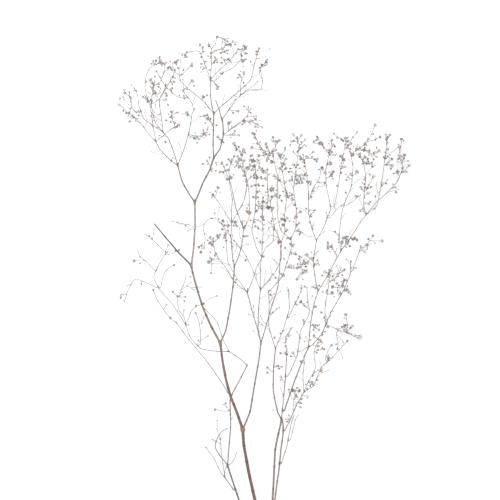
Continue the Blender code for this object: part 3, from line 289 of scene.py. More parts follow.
# The branches of each node. Each has the branch it grows from, its radii at root and tip and the height
# of its tip above the surface, in mm, and the pixels that its line runs through.
BRANCHES = {
    # The main stem from its cut end to the fork under the top sprays, with a bare snapped side shoot.
    MAIN: {
        "foot": (None, 1.9, 1.9, 1.75, ((271.5, 618), (270.5, 600), (269.5, 582))),
        "main_low": ("foot", 1.9, 1.6, 22, ((268, 565), (264.5, 545), (258.5, 515), (254.7, 499.6),
            (248.8, 473.5), (243.7, 444), (242.8, 430))),
        "main_mid": ("main_low", 1.55, 1.25, 36, ((236.3, 411.5), (230.4, 396), (226.3, 381),
            (222.4, 360.5), (220.2, 343.2))),
        "main_high": ("main_mid", 1.2, 1.0, 44, ((211.2, 326.5), (202.6, 306.7), (196.9, 288.8),
            (192.4, 271.5), (191.2, 265.8))),
        "main_top": ("main_high", 1.05, 1.0, 50, ((193.4, 249.7), (195, 225), (194.8, 202.3))),
        "snapped": ("main_high", 0.9, 0.7, 58, ((188.6, 262.6), (179.6, 253.6), (163.6, 235),
            (154.3, 223.8))),
        "right_stem": ("foot", 1.15, 1.0, 16, ((270.3, 560), (272, 515), (273.5, 485), (275.4, 450),
            (279.8, 428.5), (281.6, 420.4))),
        "far_stem": ("right_stem", 0.85, 0.75, 28, ((272.5, 540), (275, 499.6), (279, 470.5), (281, 450),
            (283.1, 434.4), (283.2, 426), (282.3, 419.5))),
        "far_thin": ("far_stem", 0.5, 0.45, 48, ((281.2, 464), (285, 453), (287.1, 446.2), (288.5, 438),
            (291, 425), (294, 415))),
        "far_thin_side": ("far_thin", 0.4, 0.4, 56, ((290, 441), (292.5, 432), (295.6, 419.6), (299, 414))),
        "left_stem": ("foot", 0.9, 0.8, 10, ((262, 560), (252, 538), (245, 518), (238.5, 499.6),
            (232.2, 480.8), (227.4, 466.1))),
        "left_loop": ("left_stem", 0.6, 0.48, 20, ((224.9, 462.4), (220.4, 457.2), (215.6, 449.1),
            (215.6, 443.2), (217.9, 437.7), (221.5, 432.2), (228, 428.5))),
        "left_thin": ("left_stem", 0.42, 0.4, 14, ((231, 464), (234.5, 459.5), (236.5, 452.5))),
    },
    # The upper left spray.
    "spray_upper_left": {
        "a": ("main_top", 0.85, 0.7, 50, ((190, 195.3), (182, 181.2), (177.8, 165.5))),
        "a_left": ("a", 0.55, 0.5, 38, ((170.1, 160), (160.2, 149.7), (155.7, 141.4))),
        "a_outer": ("a_left", 0.45, 0.4, 16, ((147.1, 132.4), (141.5, 124), (132.3, 115.6), (127, 112.5))),
        "a_up": ("a_left", 0.45, 0.4, 44, ((153.1, 126.5), (151.7, 116.7), (149.5, 103))),
        "a_thin": ("a_left", 0.4, 0.4, 58, ((161, 137.5), (170.8, 129.2), (178.8, 125))),
        "a_mid": ("a", 0.55, 0.5, 56, ((174.5, 154.5), (169, 139.5), (163.2, 132.4))),
        "a_mid_left": ("a_mid", 0.42, 0.4, 64, ((156.4, 127.7), (144.5, 119.5), (139.2, 106.4),
            (137.9, 96.2), (136.4, 91.4))),
        "a_edge_left": ("a_mid_left", 0.4, 0.4, 50, ((137.3, 113.2), (132.3, 108.6), (131, 101),
            (129.2, 92.5))),
        "a_mid_up": ("a_mid", 0.42, 0.4, 74, ((155.2, 122.4), (151.6, 105), (153, 91))),
        "a_cross": ("a_mid_up", 0.4, 0.4, 70, ((153.5, 103.5), (160.9, 97.7), (167, 87), (172.7, 77.7))),
        "a_mid_right": ("a_mid", 0.42, 0.4, 80, ((161.6, 117.5), (159.3, 101), (164, 91.5), (165.5, 86.5))),
        "a_crown_right": ("a_mid_right", 0.4, 0.4, 86, ((170.6, 82.1), (175.2, 70.5))),
        "a_crown_left": ("a_mid_right", 0.4, 0.4, 72, ((161.6, 80.1), (156.8, 72.1))),
        "a_crown_mid": ("a_crown_left", 0.4, 0.4, 78, ((162.6, 77), (164.5, 68.6), (165, 65))),
        "a_edge": ("a_up", 0.4, 0.4, 52, ((146.4, 95), (145, 86.8), (145.9, 76.8), (150, 67.7),
            (158, 63.6))),
        "a_right": ("a", 0.5, 0.42, 62, ((184.2, 148.5), (189.3, 131), (192.2, 113.8), (194.1, 110.3))),
        "a_right_left": ("a_right", 0.4, 0.4, 66, ((190.8, 101.3), (183, 91.5))),
        "a_back": ("a_right_left", 0.4, 0.4, 60, ((185, 98.5), (179, 97.5), (172.5, 93.2))),
        "a_side": ("a_right", 0.4, 0.4, 70, ((191.5, 135.2), (200, 136.2), (205.5, 135))),
    },
    # The top spray, on the stem's own leader.
    "spray_top": {
        "b": ("main_top", 0.95, 0.85, 52, ((198, 195.3), (203.1, 182.4), (209.2, 170.9), (213.7, 158))),
        "b_mid": ("b", 0.7, 0.65, 56, ((213.1, 146.5), (213.4, 130), (213.8, 113.7))),
        "b_high": ("b_mid", 0.6, 0.5, 60, ((211.5, 103.8), (210.4, 92.3), (210.6, 79.5))),
        "b_up": ("b_high", 0.45, 0.4, 66, ((211.4, 65), (211.5, 49.7), (215.3, 44.6), (216.8, 36.8))),
        "b_left": ("b_high", 0.4, 0.4, 48, ((206.4, 68.6), (199.6, 51.6), (187, 52))),
        "b_right": ("b_high", 0.42, 0.4, 74, ((216.5, 73.1), (226, 64.5), (233, 57), (238, 50))),
        "b_fan": ("b_high", 0.4, 0.4, 62, ((215, 81), (223, 73), (233, 68), (241, 60))),
        "b_low_left": ("b_mid", 0.45, 0.4, 40, ((202.8, 100.6), (190.1, 90.1), (180.5, 80.5), (178.7, 68))),
        "b_low_right": ("b_mid", 0.5, 0.4, 66, ((222, 105.8), (236.4, 93.6), (250.2, 80.4), (254, 66),
            (257, 55))),
    },
    # The upper right spray.
    "spray_upper_right": {
        "c": ("b", 0.75, 0.65, 40, ((220.1, 148.5), (223.3, 135), (222.7, 122.2), (222, 119.6))),
        "c_snapped": ("c", 0.6, 0.55, 34, ((219.1, 109.6), (215.6, 100))),
        "c_right": ("c", 0.5, 0.42, 34, ((228.4, 110.3), (236.4, 99.4), (240.3, 95.2))),
        "c_arc": ("c_right", 0.4, 0.4, 24, ((249.9, 89.7), (260.8, 89.1), (262.5, 79.5), (260, 68))),
        "c_up": ("c_right", 0.4, 0.4, 42, ((241, 82), (244, 74))),
        "c_end": ("c_right", 0.4, 0.4, 32, ((246, 90.5), (254, 85), (257.6, 81.4))),
        "c_low": ("c", 0.42, 0.4, 26, ((225.2, 133.6), (231, 129), (238, 124), (247, 116))),
    },
    # The middle spray and its left half.
    "spray_mid": {
        "d": ("main_mid", 0.85, 0.7, 66, ((225.6, 331), (229.8, 308.6), (233.3, 283.5), (234.4, 266.2))),
        "d_right": ("d", 0.55, 0.5, 80, ((239.1, 255.3), (242.3, 241.2), (243.5, 229))),
        "d_dark": ("d_right", 0.5, 0.4, 92, ((240.4, 220.6), (235.9, 207.2), (230.5, 183), (223, 165))),
        "d_right_up": ("d_right", 0.42, 0.4, 84, ((248.7, 219.4), (249.5, 200), (247.5, 182), (243, 165),
            (240, 152))),
    },
    "spray_mid_left": {
        "d_left": ("d", 0.55, 0.5, 66, ((232.4, 256.5), (231.4, 240), (230.8, 236.7))),
        "d_left_up": ("d_left", 0.45, 0.42, 72, ((231.8, 225), (231.3, 213), (232.5, 200))),
        "d_left_out": ("d_left_up", 0.4, 0.4, 66, ((230.6, 222.5), (229.2, 218.7), (220, 204.5),
            (212.5, 194.5))),
        "d_left_in": ("d_left_up", 0.4, 0.4, 80, ((232.6, 221), (236.5, 214), (244, 200.5), (246.4, 190),
            (246.3, 180))),
        "d_loop": ("d_left", 0.4, 0.4, 58, ((226, 230), (216, 218.5), (208, 219.5), (203.2, 227),
            (204.5, 234))),
        "d_crown": ("d_left_up", 0.4, 0.4, 76, ((230, 185), (229, 170), (234, 157))),
    },
    # The centre sprays, on the branch from the first fork.
    "spray_centre_left": {
        "e": ("main_low", 0.95, 0.7, 52, ((249.9, 412.3), (254.2, 387), (259.2, 357.7), (260.9, 343.1))),
        "e_left": ("e", 0.55, 0.5, 60, ((257.3, 328.5), (251.5, 308.5), (247.5, 292.5))),
        "e_far_left": ("e_left", 0.45, 0.4, 50, ((234.5, 281.5), (225.3, 266.8), (216.3, 255.3),
            (213, 242))),
        "e_left_up": ("e_left", 0.42, 0.4, 56, ((235.9, 276.4), (228, 262), (226.5, 241))),
        "e_arch": ("e_left", 0.45, 0.42, 66, ((251.9, 281.5), (256.4, 268.1), (261.7, 257.2))),
        "e_arch_right": ("e_arch", 0.4, 0.4, 60, ((265.4, 248.2), (273, 241), (273.5, 230))),
        "e_column": ("e_arch", 0.42, 0.4, 68, ((256.4, 247.6), (252, 230), (255, 212), (256, 190),
            (256, 175), (253.5, 160))),
    },
    "spray_centre": {
        "f": ("e", 0.55, 0.5, 44, ((258.1, 328.5), (259, 304), (260.4, 289.5))),
        "f_left": ("f", 0.42, 0.4, 40, ((257.7, 283.5), (251.6, 267.4), (244, 252.5), (234.5, 241))),
        "f_up": ("f", 0.45, 0.4, 40, ((260.3, 271.3), (262, 250), (263, 232), (262, 215), (263, 198))),
        "f_right": ("f", 0.42, 0.4, 34, ((269.2, 279.6), (276.5, 270), (281.5, 258), (281, 247))),
    },
    "spray_centre_right": {
        "g": ("e", 0.6, 0.5, 40, ((265.8, 327), (269.8, 312.3), (277.9, 286.7), (280.1, 261.7),
            (281.2, 242.5))),
        "g_up": ("g", 0.42, 0.4, 28, ((284.8, 232), (284.5, 216), (286.5, 198), (284, 180), (281, 163))),
        "g_left": ("g", 0.4, 0.4, 20, ((275, 229), (272, 212), (268, 192), (267, 170))),
    },
    # The inner spray, on the left branch of the right stem.
    "spray_inner": {
        "h": ("right_stem", 0.75, 0.6, 24, ((277.6, 412.3), (273.3, 390), (274, 364), (275.5, 348.5))),
        "h_left": ("h", 0.5, 0.45, 58, ((269, 327), (269.2, 303.8), (268.5, 292))),
        "h_right": ("h", 0.45, 0.4, 20, ((283.5, 329), (289.6, 307.7), (288.3, 291))),
        "h_side": ("h_right", 0.4, 0.4, 26, ((288.5, 317.5), (296, 302), (301, 292))),
        "h_behind": ("h_left", 0.45, 0.42, 84, ((275, 285), (282, 277), (286.5, 264), (291.5, 247),
            (290.7, 239.2))),
        "h_crown": ("h_behind", 0.42, 0.4, 96, ((281.2, 230.7), (277.6, 217.4), (277, 198), (277.5, 178),
            (273, 157))),
        "h_crown_up": ("h_behind", 0.42, 0.4, 100, ((295.5, 228), (296, 210), (293.5, 190), (296, 168),
            (299, 146))),
    },
    # The low sprays of the right stem.
    "spray_low_centre": {
        "i": ("right_stem", 0.6, 0.5, 36, ((282.7, 408), (285.4, 378.5), (286.9, 350.8))),
        "i_up": ("i", 0.4, 0.4, 42, ((285.5, 338), (291.9, 328.1))),
        "i_right": ("i", 0.45, 0.4, 44, ((287, 377), (290.8, 370.8), (297.3, 355.4), (301, 330),
            (309.2, 313.8), (307.5, 298), (307, 288))),
        "i_low": ("i_right", 0.4, 0.4, 34, ((300, 352), (307, 347.5))),
    },
    # The right sprays: a high one, an outer one and a lower one on one branch.
    "spray_right_outer": {
        "j": ("i", 0.75, 0.6, 30, ((284.5, 411), (288.3, 399.7), (294.6, 381.5), (303.5, 358.5),
            (308.5, 347.7))),
        "j_up": ("j", 0.55, 0.5, 44, ((310.4, 325.4), (314.2, 303.8), (318, 291))),
        "j_outer": ("j_up", 0.5, 0.45, 34, ((327.3, 276.5), (334.5, 262.5), (340.8, 251.2))),
        "j_far": ("j_outer", 0.45, 0.42, 24, ((350.4, 238.1), (361.2, 221.5), (366.4, 214.6))),
        "j_edge": ("j_far", 0.42, 0.4, 9, ((377.5, 201.3), (388, 192), (398, 181), (403, 168))),
        "j_edge_up": ("j_far", 0.42, 0.4, 22, ((364, 205), (364.5, 192), (366, 176), (363, 160))),
        "j_far_up": ("j_far", 0.42, 0.4, 16, ((377, 205.5), (382.9, 176), (385, 160), (387, 144))),
        "j_inner": ("j_outer", 0.42, 0.4, 44, ((339.5, 236), (340.8, 220.4), (343.4, 206.6), (351, 188),
            (353, 165), (350, 152))),
        "j_thin": ("j_inner", 0.4, 0.4, 38, ((345.5, 206), (353.8, 200.8), (358, 196.5))),
    },
    "spray_right_high": {
        "k": ("j_up", 0.5, 0.45, 66, ((315.8, 281.9), (313.3, 262), (315.4, 246.5), (316.4, 240.4))),
        "k_left": ("k", 0.42, 0.4, 68, ((311.5, 228), (308.5, 212), (308.2, 190), (306, 170), (303, 155))),
        "k_left_in": ("k_left", 0.4, 0.4, 62, ((309.6, 199), (312.1, 190), (319.2, 178.3), (321, 169))),
        "k_right": ("k", 0.42, 0.4, 80, ((323.5, 227.3), (330.4, 208.8), (326.5, 188), (325.5, 170),
            (330, 151))),
        "k_low_right": ("k_right", 0.4, 0.4, 72, ((329.4, 218), (336.5, 209.6), (341, 206))),
        "k_far": ("k_right", 0.4, 0.4, 88, ((334, 206), (337.5, 190), (341, 165), (345, 145))),
    },
    "spray_right_mid": {
        "l": ("j", 0.5, 0.45, 18, ((312.7, 345), (321.9, 333.8), (331.9, 310.8), (343.1, 291.9),
            (350.8, 272.7), (351, 262))),
        "l_arc": ("l", 0.4, 0.4, 9, ((334.9, 328.4), (340, 331), (346, 332))),
        "l_low": ("l_arc", 0.4, 0.4, 8, ((336.5, 334), (338.4, 342.2), (337.7, 349))),
        "l_end": ("l", 0.4, 0.4, 22, ((353, 268), (358, 256), (361, 246))),
        "l_fan": ("l", 0.4, 0.4, 26, ((325.6, 323), (325.2, 309), (328, 290), (330, 276))),
    },
    "spray_low_right": {
        "m": ("far_stem", 0.6, 0.5, 54, ((284.8, 431), (290.1, 420.4), (296, 406.4), (303.9, 392.3))),
        "m_left": ("m", 0.4, 0.4, 60, ((307.5, 383), (315.3, 368.3), (314, 352), (318.5, 340))),
        "m_right": ("m", 0.45, 0.4, 52, ((313.7, 385.2), (321.5, 367.2), (331.4, 358.4), (346.9, 341.3))),
        "m_rise": ("m", 0.4, 0.4, 62, ((303.3, 385), (303, 374), (304.3, 363))),
        "m_side": ("m_right", 0.4, 0.4, 44, ((325.2, 359), (328, 351), (331.4, 345.7))),
        "m_low": ("m", 0.4, 0.4, 46, ((293, 410), (294, 400), (295, 391))),
    },
    # The left sprays, thin and kinked, on the left stem.
    "spray_left": {
        "n": ("left_stem", 0.65, 0.55, 18, ((228.9, 447.7), (230.6, 425.5), (230.5, 398), (239.7, 380.4),
            (247.1, 365.6))),
        "n_kink": ("n", 0.5, 0.45, 24, ((240.4, 359.2), (229.2, 351.9))),
        "n_left": ("n_kink", 0.45, 0.42, 26, ((215, 351.3), (200.6, 348.7), (190.1, 337.4),
            (185.6, 324.9))),
        "n_high": ("n_left", 0.42, 0.4, 30, ((172.9, 305), (159.3, 289.3), (153.6, 276.4), (162.1, 258.6),
            (167.1, 252.1))),
        "n_out": ("n_high", 0.4, 0.4, 20, ((154, 270), (147, 262.5), (140, 257))),
        "n_tip": ("n_high", 0.4, 0.4, 36, ((163, 250), (152, 239))),
        "n_far": ("n_high", 0.4, 0.4, 9, ((156.5, 287.8), (150, 284.5), (141.4, 281), (135.4, 279.2),
            (131, 284), (126, 294))),
        "n_side": ("n_left", 0.4, 0.4, 36, ((187.5, 321), (191.4, 310.7), (196.4, 306.4), (203, 304))),
        "n_mid": ("n_left", 0.4, 0.4, 44, ((184.3, 318), (178.6, 309.3), (177.1, 296.4))),
        "n_rise": ("n_left", 0.4, 0.4, 32, ((200.5, 343.6), (200, 329.3), (198.6, 320.7), (195.7, 313.6))),
        "n_second": ("n_kink", 0.4, 0.4, 18, ((223.1, 340), (216.7, 322), (205, 309.5))),
        "n_inner": ("n_high", 0.4, 0.4, 38, ((160.6, 287), (162.9, 276.4), (167.1, 269.3), (173.6, 265.3))),
    },
    "spray_left_low": {
        "o": ("n", 0.5, 0.42, 10, ((228.8, 394.5), (225, 388), (206.4, 361.2), (187.2, 338.1), (177, 324))),
        "o_up": ("o", 0.4, 0.4, 12, ((169.6, 317.9), (157.1, 300.7), (152.9, 290))),
    },
    "spray_foot_left": {
        "p": ("left_stem", 0.65, 0.5, 6, ((233.6, 490.8), (224.9, 478.6))),
        "p_up": ("p", 0.42, 0.4, 7, ((220.8, 473.5), (213.5, 458.5), (206, 448.5))),
        "p_side": ("p", 0.4, 0.4, 5, ((224.7, 474.5), (224.9, 470.5), (226.3, 468))),
        "p_thin": ("p", 0.4, 0.4, 6, ((223.8, 471), (221.5, 456), (220.3, 440))),
    },
}

ROUTES = {name: Route(node, *facts) for node, group in BRANCHES.items() for name, facts in group.items()}

# Florets, grouped by how large they look, each at the pixel where it is seen.
FLORETS = {
    "full": (
        (215, 410), (125, 93), (134, 88), (129, 112), (151, 80), (159, 84), (152, 88), (155, 92), (153, 61),
        (160, 60), (162, 64), (166, 63), (175, 62), (185, 57), (170, 68), (175, 71), (192, 81), (166, 100),
        (171, 117), (175, 122), (179, 125), (217, 37), (225, 40), (209, 45), (203, 47), (226, 45),
        (231, 46), (246, 47), (243, 50), (259, 49), (222, 49), (224, 60), (231, 62), (205, 62), (262, 65),
        (266, 62), (244, 72), (240, 76), (218, 87), (203, 97), (208, 119), (194, 138), (199, 139),
        (204, 132), (206, 136), (207, 161), (212, 169), (238, 111), (248, 106), (229, 123), (213, 125),
        (258, 124), (234, 134), (239, 135), (218, 137), (253, 134), (255, 138), (252, 148), (243, 150),
        (245, 153), (241, 154), (238, 157), (259, 156), (231, 162), (222, 164), (237, 162), (240, 160),
        (244, 161), (250, 160), (254, 161), (250, 165), (254, 166), (259, 163), (236, 166), (240, 167),
        (243, 171), (248, 169), (252, 170), (228, 170), (220, 172), (231, 178), (244, 176), (251, 177),
        (257, 178), (258, 185), (213, 195), (256, 197), (273, 138), (276, 142), (279, 141), (268, 151),
        (268, 155), (272, 154), (278, 153), (280, 155), (286, 159), (280, 168), (274, 176), (277, 178),
        (285, 182), (286, 191), (271, 188), (276, 195), (272, 197), (287, 196), (263, 202), (260, 207),
        (273, 208), (256, 211), (293, 135), (297, 139), (301, 136), (305, 140), (291, 142), (299, 149),
        (313, 152), (301, 159), (293, 165), (296, 175), (299, 176), (305, 175), (302, 183), (299, 183),
        (308, 182), (292, 195), (292, 199), (294, 204), (300, 212), (318, 139), (322, 143), (331, 141),
        (333, 145), (345, 139), (347, 148), (357, 132), (375, 125), (380, 137), (387, 138), (390, 135),
        (402, 139), (400, 147), (317, 159), (327, 151), (330, 150), (330, 154), (343, 160), (357, 149),
        (360, 148), (352, 154), (364, 150), (372, 155), (377, 157), (388, 149), (405, 155), (392, 159),
        (389, 162), (393, 165), (410, 165), (322, 168), (325, 173), (333, 172), (331, 176), (342, 168),
        (345, 167), (364, 162), (368, 161), (372, 163), (351, 174), (348, 177), (365, 177), (382, 183),
        (361, 187), (368, 193), (396, 187), (325, 183), (363, 209), (223, 221), (228, 226), (225, 237),
        (210, 238), (210, 243), (199, 247), (204, 248), (201, 252), (210, 258), (235, 222), (237, 226),
        (242, 222), (244, 228), (246, 236), (254, 222), (262, 217), (260, 242), (279, 242), (282, 219),
        (283, 225), (287, 218), (287, 230), (296, 217), (299, 223), (298, 230), (312, 226), (347, 237),
        (354, 238), (357, 240), (328, 246), (373, 236), (382, 241), (367, 245), (365, 252), (311, 259),
        (307, 263), (302, 274), (300, 267), (297, 279), (283, 275), (343, 286), (333, 287), (348, 290),
        (327, 292), (332, 293), (301, 302), (328, 327), (314, 336), (322, 335), (321, 342), (328, 357),
        (346, 315), (353, 326), (347, 331), (350, 334), (361, 336), (360, 339), (285, 353), (293, 353),
        (281, 377), (299, 391), (134, 261)),
    "large": (
        (147, 99), (236, 148), (218, 188), (214, 241), (292, 246), (290, 266), (297, 268), (325, 272),
        (369, 151), (321, 371), (234, 144), (226, 233), (334, 280), (244, 121), (274, 150), (216, 60),
        (365, 144), (341, 157), (330, 164), (379, 151), (350, 144), (357, 172), (304, 162), (302, 179),
        (320, 144), (283, 164), (268, 207), (306, 271), (347, 243), (342, 243), (344, 238), (187, 113),
        (171, 90), (338, 276), (209, 262), (249, 213), (405, 171), (398, 172), (268, 159), (262, 169),
        (243, 61), (304, 263), (132, 115), (360, 154), (365, 157), (272, 162), (374, 176), (255, 174)),
    "small": (
        (138, 111), (184, 89), (192, 63), (204, 116), (257, 143), (266, 144), (265, 178), (356, 268),
        (316, 285), (339, 235), (278, 366), (311, 214), (262, 127), (118, 104), (155, 82), (175, 83),
        (178, 60), (183, 74), (171, 112), (176, 113), (236, 42), (241, 55), (227, 51), (216, 51), (211, 57),
        (251, 108), (250, 121), (256, 116), (221, 140), (260, 148), (285, 150), (263, 151), (264, 156),
        (229, 159), (224, 167), (265, 171), (259, 168), (258, 192), (266, 192), (273, 190), (279, 198),
        (267, 203), (256, 205), (302, 148), (293, 152), (308, 158), (286, 167), (291, 172), (291, 180),
        (313, 191), (311, 181), (310, 210), (301, 232), (290, 239), (295, 253), (299, 259), (305, 255),
        (318, 263), (314, 265), (329, 273), (335, 252), (332, 245), (312, 287), (302, 286), (342, 282),
        (346, 280), (341, 268), (343, 271), (338, 288), (341, 294), (351, 294), (149, 236), (168, 245),
        (179, 250), (153, 290), (166, 305), (183, 286), (194, 290), (173, 292), (182, 292), (178, 297),
        (185, 297), (170, 318), (184, 310), (196, 306), (211, 273), (216, 254), (222, 230), (219, 238),
        (220, 235), (233, 246), (263, 229), (258, 220), (273, 227), (289, 390), (297, 397), (300, 403),
        (314, 372), (309, 381), (312, 382), (310, 385), (277, 409), (282, 367), (284, 343), (289, 335),
        (300, 338), (267, 368), (304, 324), (295, 302), (305, 306), (324, 318), (313, 325), (315, 328),
        (319, 325), (319, 330), (318, 338), (324, 349), (318, 350), (229, 411), (232, 419), (204, 317),
        (120, 295), (124, 301), (369, 185), (368, 188), (366, 202), (369, 204), (356, 196), (401, 159),
        (386, 152), (386, 158), (399, 155), (375, 140), (368, 139), (337, 138), (341, 139), (143, 97),
        (130, 97)),
    "tiny": (
        (184, 98), (203, 69), (223, 72), (257, 59), (363, 248), (228, 39), (247, 50), (127, 286),
        (138, 253), (144, 234), (171, 221), (180, 224), (188, 231), (202, 287), (203, 323), (141, 283),
        (223, 405), (217, 421), (212, 440), (348, 325), (304, 362), (288, 419), (191, 282), (268, 221),
        (313, 143), (217, 296), (188, 325), (186, 275), (154, 229), (211, 218), (293, 390), (308, 396),
        (296, 406), (315, 306), (208, 336)),
}

# The florets that the stem rests on, with its foot.
RESTING = ((118, 104), (410, 165), (120, 295), (361, 336))

BARE_ROUTES = ("snapped", "c_snapped")


def in_plan(x, y, height=0.0):
    """The place of a pixel of the plan, at a height above the surface."""
    return Vector(((x - PLAN_CENTRE[0]) * PLAN_UNIT, (PLAN_CENTRE[1] - y) * PLAN_UNIT, height))


class Room:
    """The space that is taken, as balls in a grid of cells, each with the node it belongs to."""

    def __init__(self):
        self.cells = {}

    def key(self, point):
        return tuple(math.floor(value / CELL) for value in point)

    def take(self, point, radius, node):
        self.cells.setdefault(self.key(point), []).append((point, radius, node))

    def is_free(self, point, radius, node):
        """True where a ball stays clear of every other node's."""
        column, row, level = self.key(point)
        for i in (column - 1, column, column + 1):
            for j in (row - 1, row, row + 1):
                for k in (level - 1, level, level + 1):
                    for other, size, owner in self.cells.get((i, j, k), ()):
                        if owner != node and (other - point).length < radius + size + CLEARANCE:
                            return False
        return True


def along(points, radii, step=SAMPLE_STEP):
    """Balls along a tube, no further apart than the step."""
    balls = []
    for start, end, r_start, r_end in zip(points, points[1:], radii, radii[1:]):
        count = max(1, math.ceil((end - start).length / step))
        for i in range(count):
            share = i / count
            balls.append((start.lerp(end, share), (r_start + (r_end - r_start) * share) * MM))
    balls.append((points[-1], radii[-1] * MM))
    return balls


def cut_at(points, radii, distance):
    """The two parts of a tube, cut square at a distance along it, with the joint's gap between them."""
    walked = 0.0
    for i, (start, end) in enumerate(zip(points, points[1:])):
        length = (end - start).length
        if walked + length > distance + JOINT_GAP * 4 or i == len(points) - 2:
            share = min(CUT_SHARES[1], max(CUT_SHARES[0], (distance - walked) / length))
            cut = start.lerp(end, share)
            radius = radii[i] + (radii[i + 1] - radii[i]) * share
            half = (end - start).normalized() * (JOINT_GAP / 2)
            head = (points[:i + 1] + [cut - half], radii[:i + 1] + [radius])
            tail = ([cut + half] + points[i + 1:], [radius] + radii[i + 1:])
            return head, tail
        walked += length


def nearest_on(points, target):
    """The point of a line that lies nearest the target in plan."""
    best = None
    for start, end in zip(points, points[1:]):
        run = (end - start).xy
        share = (target - start).xy.dot(run) / max(run.length_squared, 1e-12)
        place = start.lerp(end, min(1.0, max(0.0, share)))
        gap = (place - target).xy.length
        if best is None or gap < best[0]:
            best = (gap, place)
    return best[1]


def smooth(points, spacing):
    """Points about a spacing apart on a line that bends softly through some points."""
    ends = [points[0] * 2 - points[1]] + points + [points[-1] * 2 - points[-2]]
    line = [points[0]]
    for before, start, end, after in zip(ends, ends[1:], ends[2:], ends[3:]):
        leave = (end - before) * FLOW
        arrive = (after - start) * FLOW
        count = max(1, round((end - start).length / spacing))
        for i in range(1, count + 1):
            t = i / count
            near = start * (1 + 2 * t) + leave * t
            far = end * (3 - 2 * t) - arrive * (1 - t)
            line.append(near * (1 - t) ** 2 + far * t ** 2)
    return line


def distances(line):
    """How far along a line each of its points lies."""
    steps = [0.0]
    for start, end in zip(line, line[1:]):
        steps.append(steps[-1] + (end - start).length)
    return steps


def route_line(route, root, lift):
    """A route's stations in space: its smooth line in plan, rising evenly from its root to its tip."""
    flat = [in_plan(x, y) for x, y in route.line]
    tip_height = max(route.height_mm + lift, LEAST_TIP_MM) * MM
    if root is None:
        return [Vector((p.x, p.y, tip_height)) for p in flat]
    stops = smooth([Vector((root.x, root.y, 0.0))] + flat, STATION_SPACING)
    steps = distances(stops)
    points = [root.copy()]
    for place, step in zip(stops[1:], steps[1:]):
        points.append(Vector((place.x, place.y, root.z + (tip_height - root.z) * step / steps[-1])))
    return points


def lay_route(name, route, parent_points, parent_node, room):
    """The tubes of one branch, at the first height where they stay clear of the other nodes."""
    root = None if parent_points is None else nearest_on(parent_points, in_plan(*route.line[0]))
    for lift in LIFTS:
        points = route_line(route, root, lift)
        count = len(points) - 1
        radii = [route.root_mm + (route.tip_mm - route.root_mm) * i / count for i in range(count + 1)]
        if parent_node in (None, route.node):
            if all(room.is_free(p, r, route.node) for p, r in along(points, radii)[ROOT_BALLS:]):
                return points, [Tube(route.node, name, points, radii)]
            continue
        for stub_length in STUB_LENGTHS:
            head, tail = cut_at(points, radii, stub_length)
            if not all(room.is_free(p, r, parent_node) for p, r in along(*head)):
                continue
            if all(room.is_free(p, r, route.node) for p, r in along(*tail)):
                return points, [Tube(parent_node, name, *head), Tube(route.node, name, *tail)]
    raise ValueError(f"no clear height for a branch of {route.node} at {route.line[0]}")


def lay_routes(room):
    """Every branch, laid in turn on the branch it grows from."""
    laid = {}
    tubes = []
    for name, route in ROUTES.items():
        parent_points = laid.get(route.parent)
        parent_node = ROUTES[route.parent].node if route.parent else None
        points, parts = lay_route(name, route, parent_points, parent_node, room)
        laid[name] = points
        for tube in parts:
            tubes.append(tube)
            for place, radius in along(tube.points, tube.radii):
                room.take(place, radius, tube.node)
    return laid, tubes


def sprouting_places(laid):
    """Where stalks can grow: stations along the sprays' branches, with the direction of growth."""
    places = []
    for name, points in laid.items():
        if ROUTES[name].node == MAIN or name in BARE_ROUTES:
            continue
        for place, _ in along(points, [1.0] * len(points), 4 * SAMPLE_STEP)[2:]:
            places.append((place, ROUTES[name].node))
        places.append((points[-1], ROUTES[name].node))
    return [(place, node, heading_at(laid, place)) for place, node in places]


def heading_at(laid, place):
    """The direction of growth of the branch that passes nearest a place."""
    best = None
    for points in laid.values():
        for start, end in zip(points, points[1:]):
            gap = ((start + end) / 2 - place).length
            if best is None or gap < best[0]:
                best = (gap, (end - start).normalized())
    return best[1]


def reach(place, heading, target):
    """How hard a target is to reach from a place: its distance in plan, more where growth turns back."""
    run = (target - place).xy
    ahead = heading.xy
    turn = run.dot(ahead) / max(run.length * ahead.length, TINY)
    return run.length * (1 + BACKWARD_COST * (1 - turn))


def stand_bloom(root, target, width, resting, node, room, draw):
    """The centre of a floret over its place in plan, at a drawn height that is clear of other nodes."""
    spread = max((target - root).xy.length, LEAST_RUN)
    for attempt in range(STAND_TRIES):
        height = root.z + draw.uniform(*RISE_DRAW) * spread * (1 + attempt / TRIES_TO_DOUBLE)
        height = max(height, width * LEAST_HEIGHT)
        if resting:
            height = width * RESTING_HEIGHT - TRIM_DEPTH
        centre = Vector((target.x, target.y, height))
        stalk = along([root, centre], [STALK_RADIUS / MM] * 2, 2 * SAMPLE_STEP)
        clear = room.is_free(centre, width * BLOOM_ROOM, node)
        if clear and all(room.is_free(p, r, node) for p, r in stalk[1:-1]):
            return centre
        if resting:
            return centre
    return None


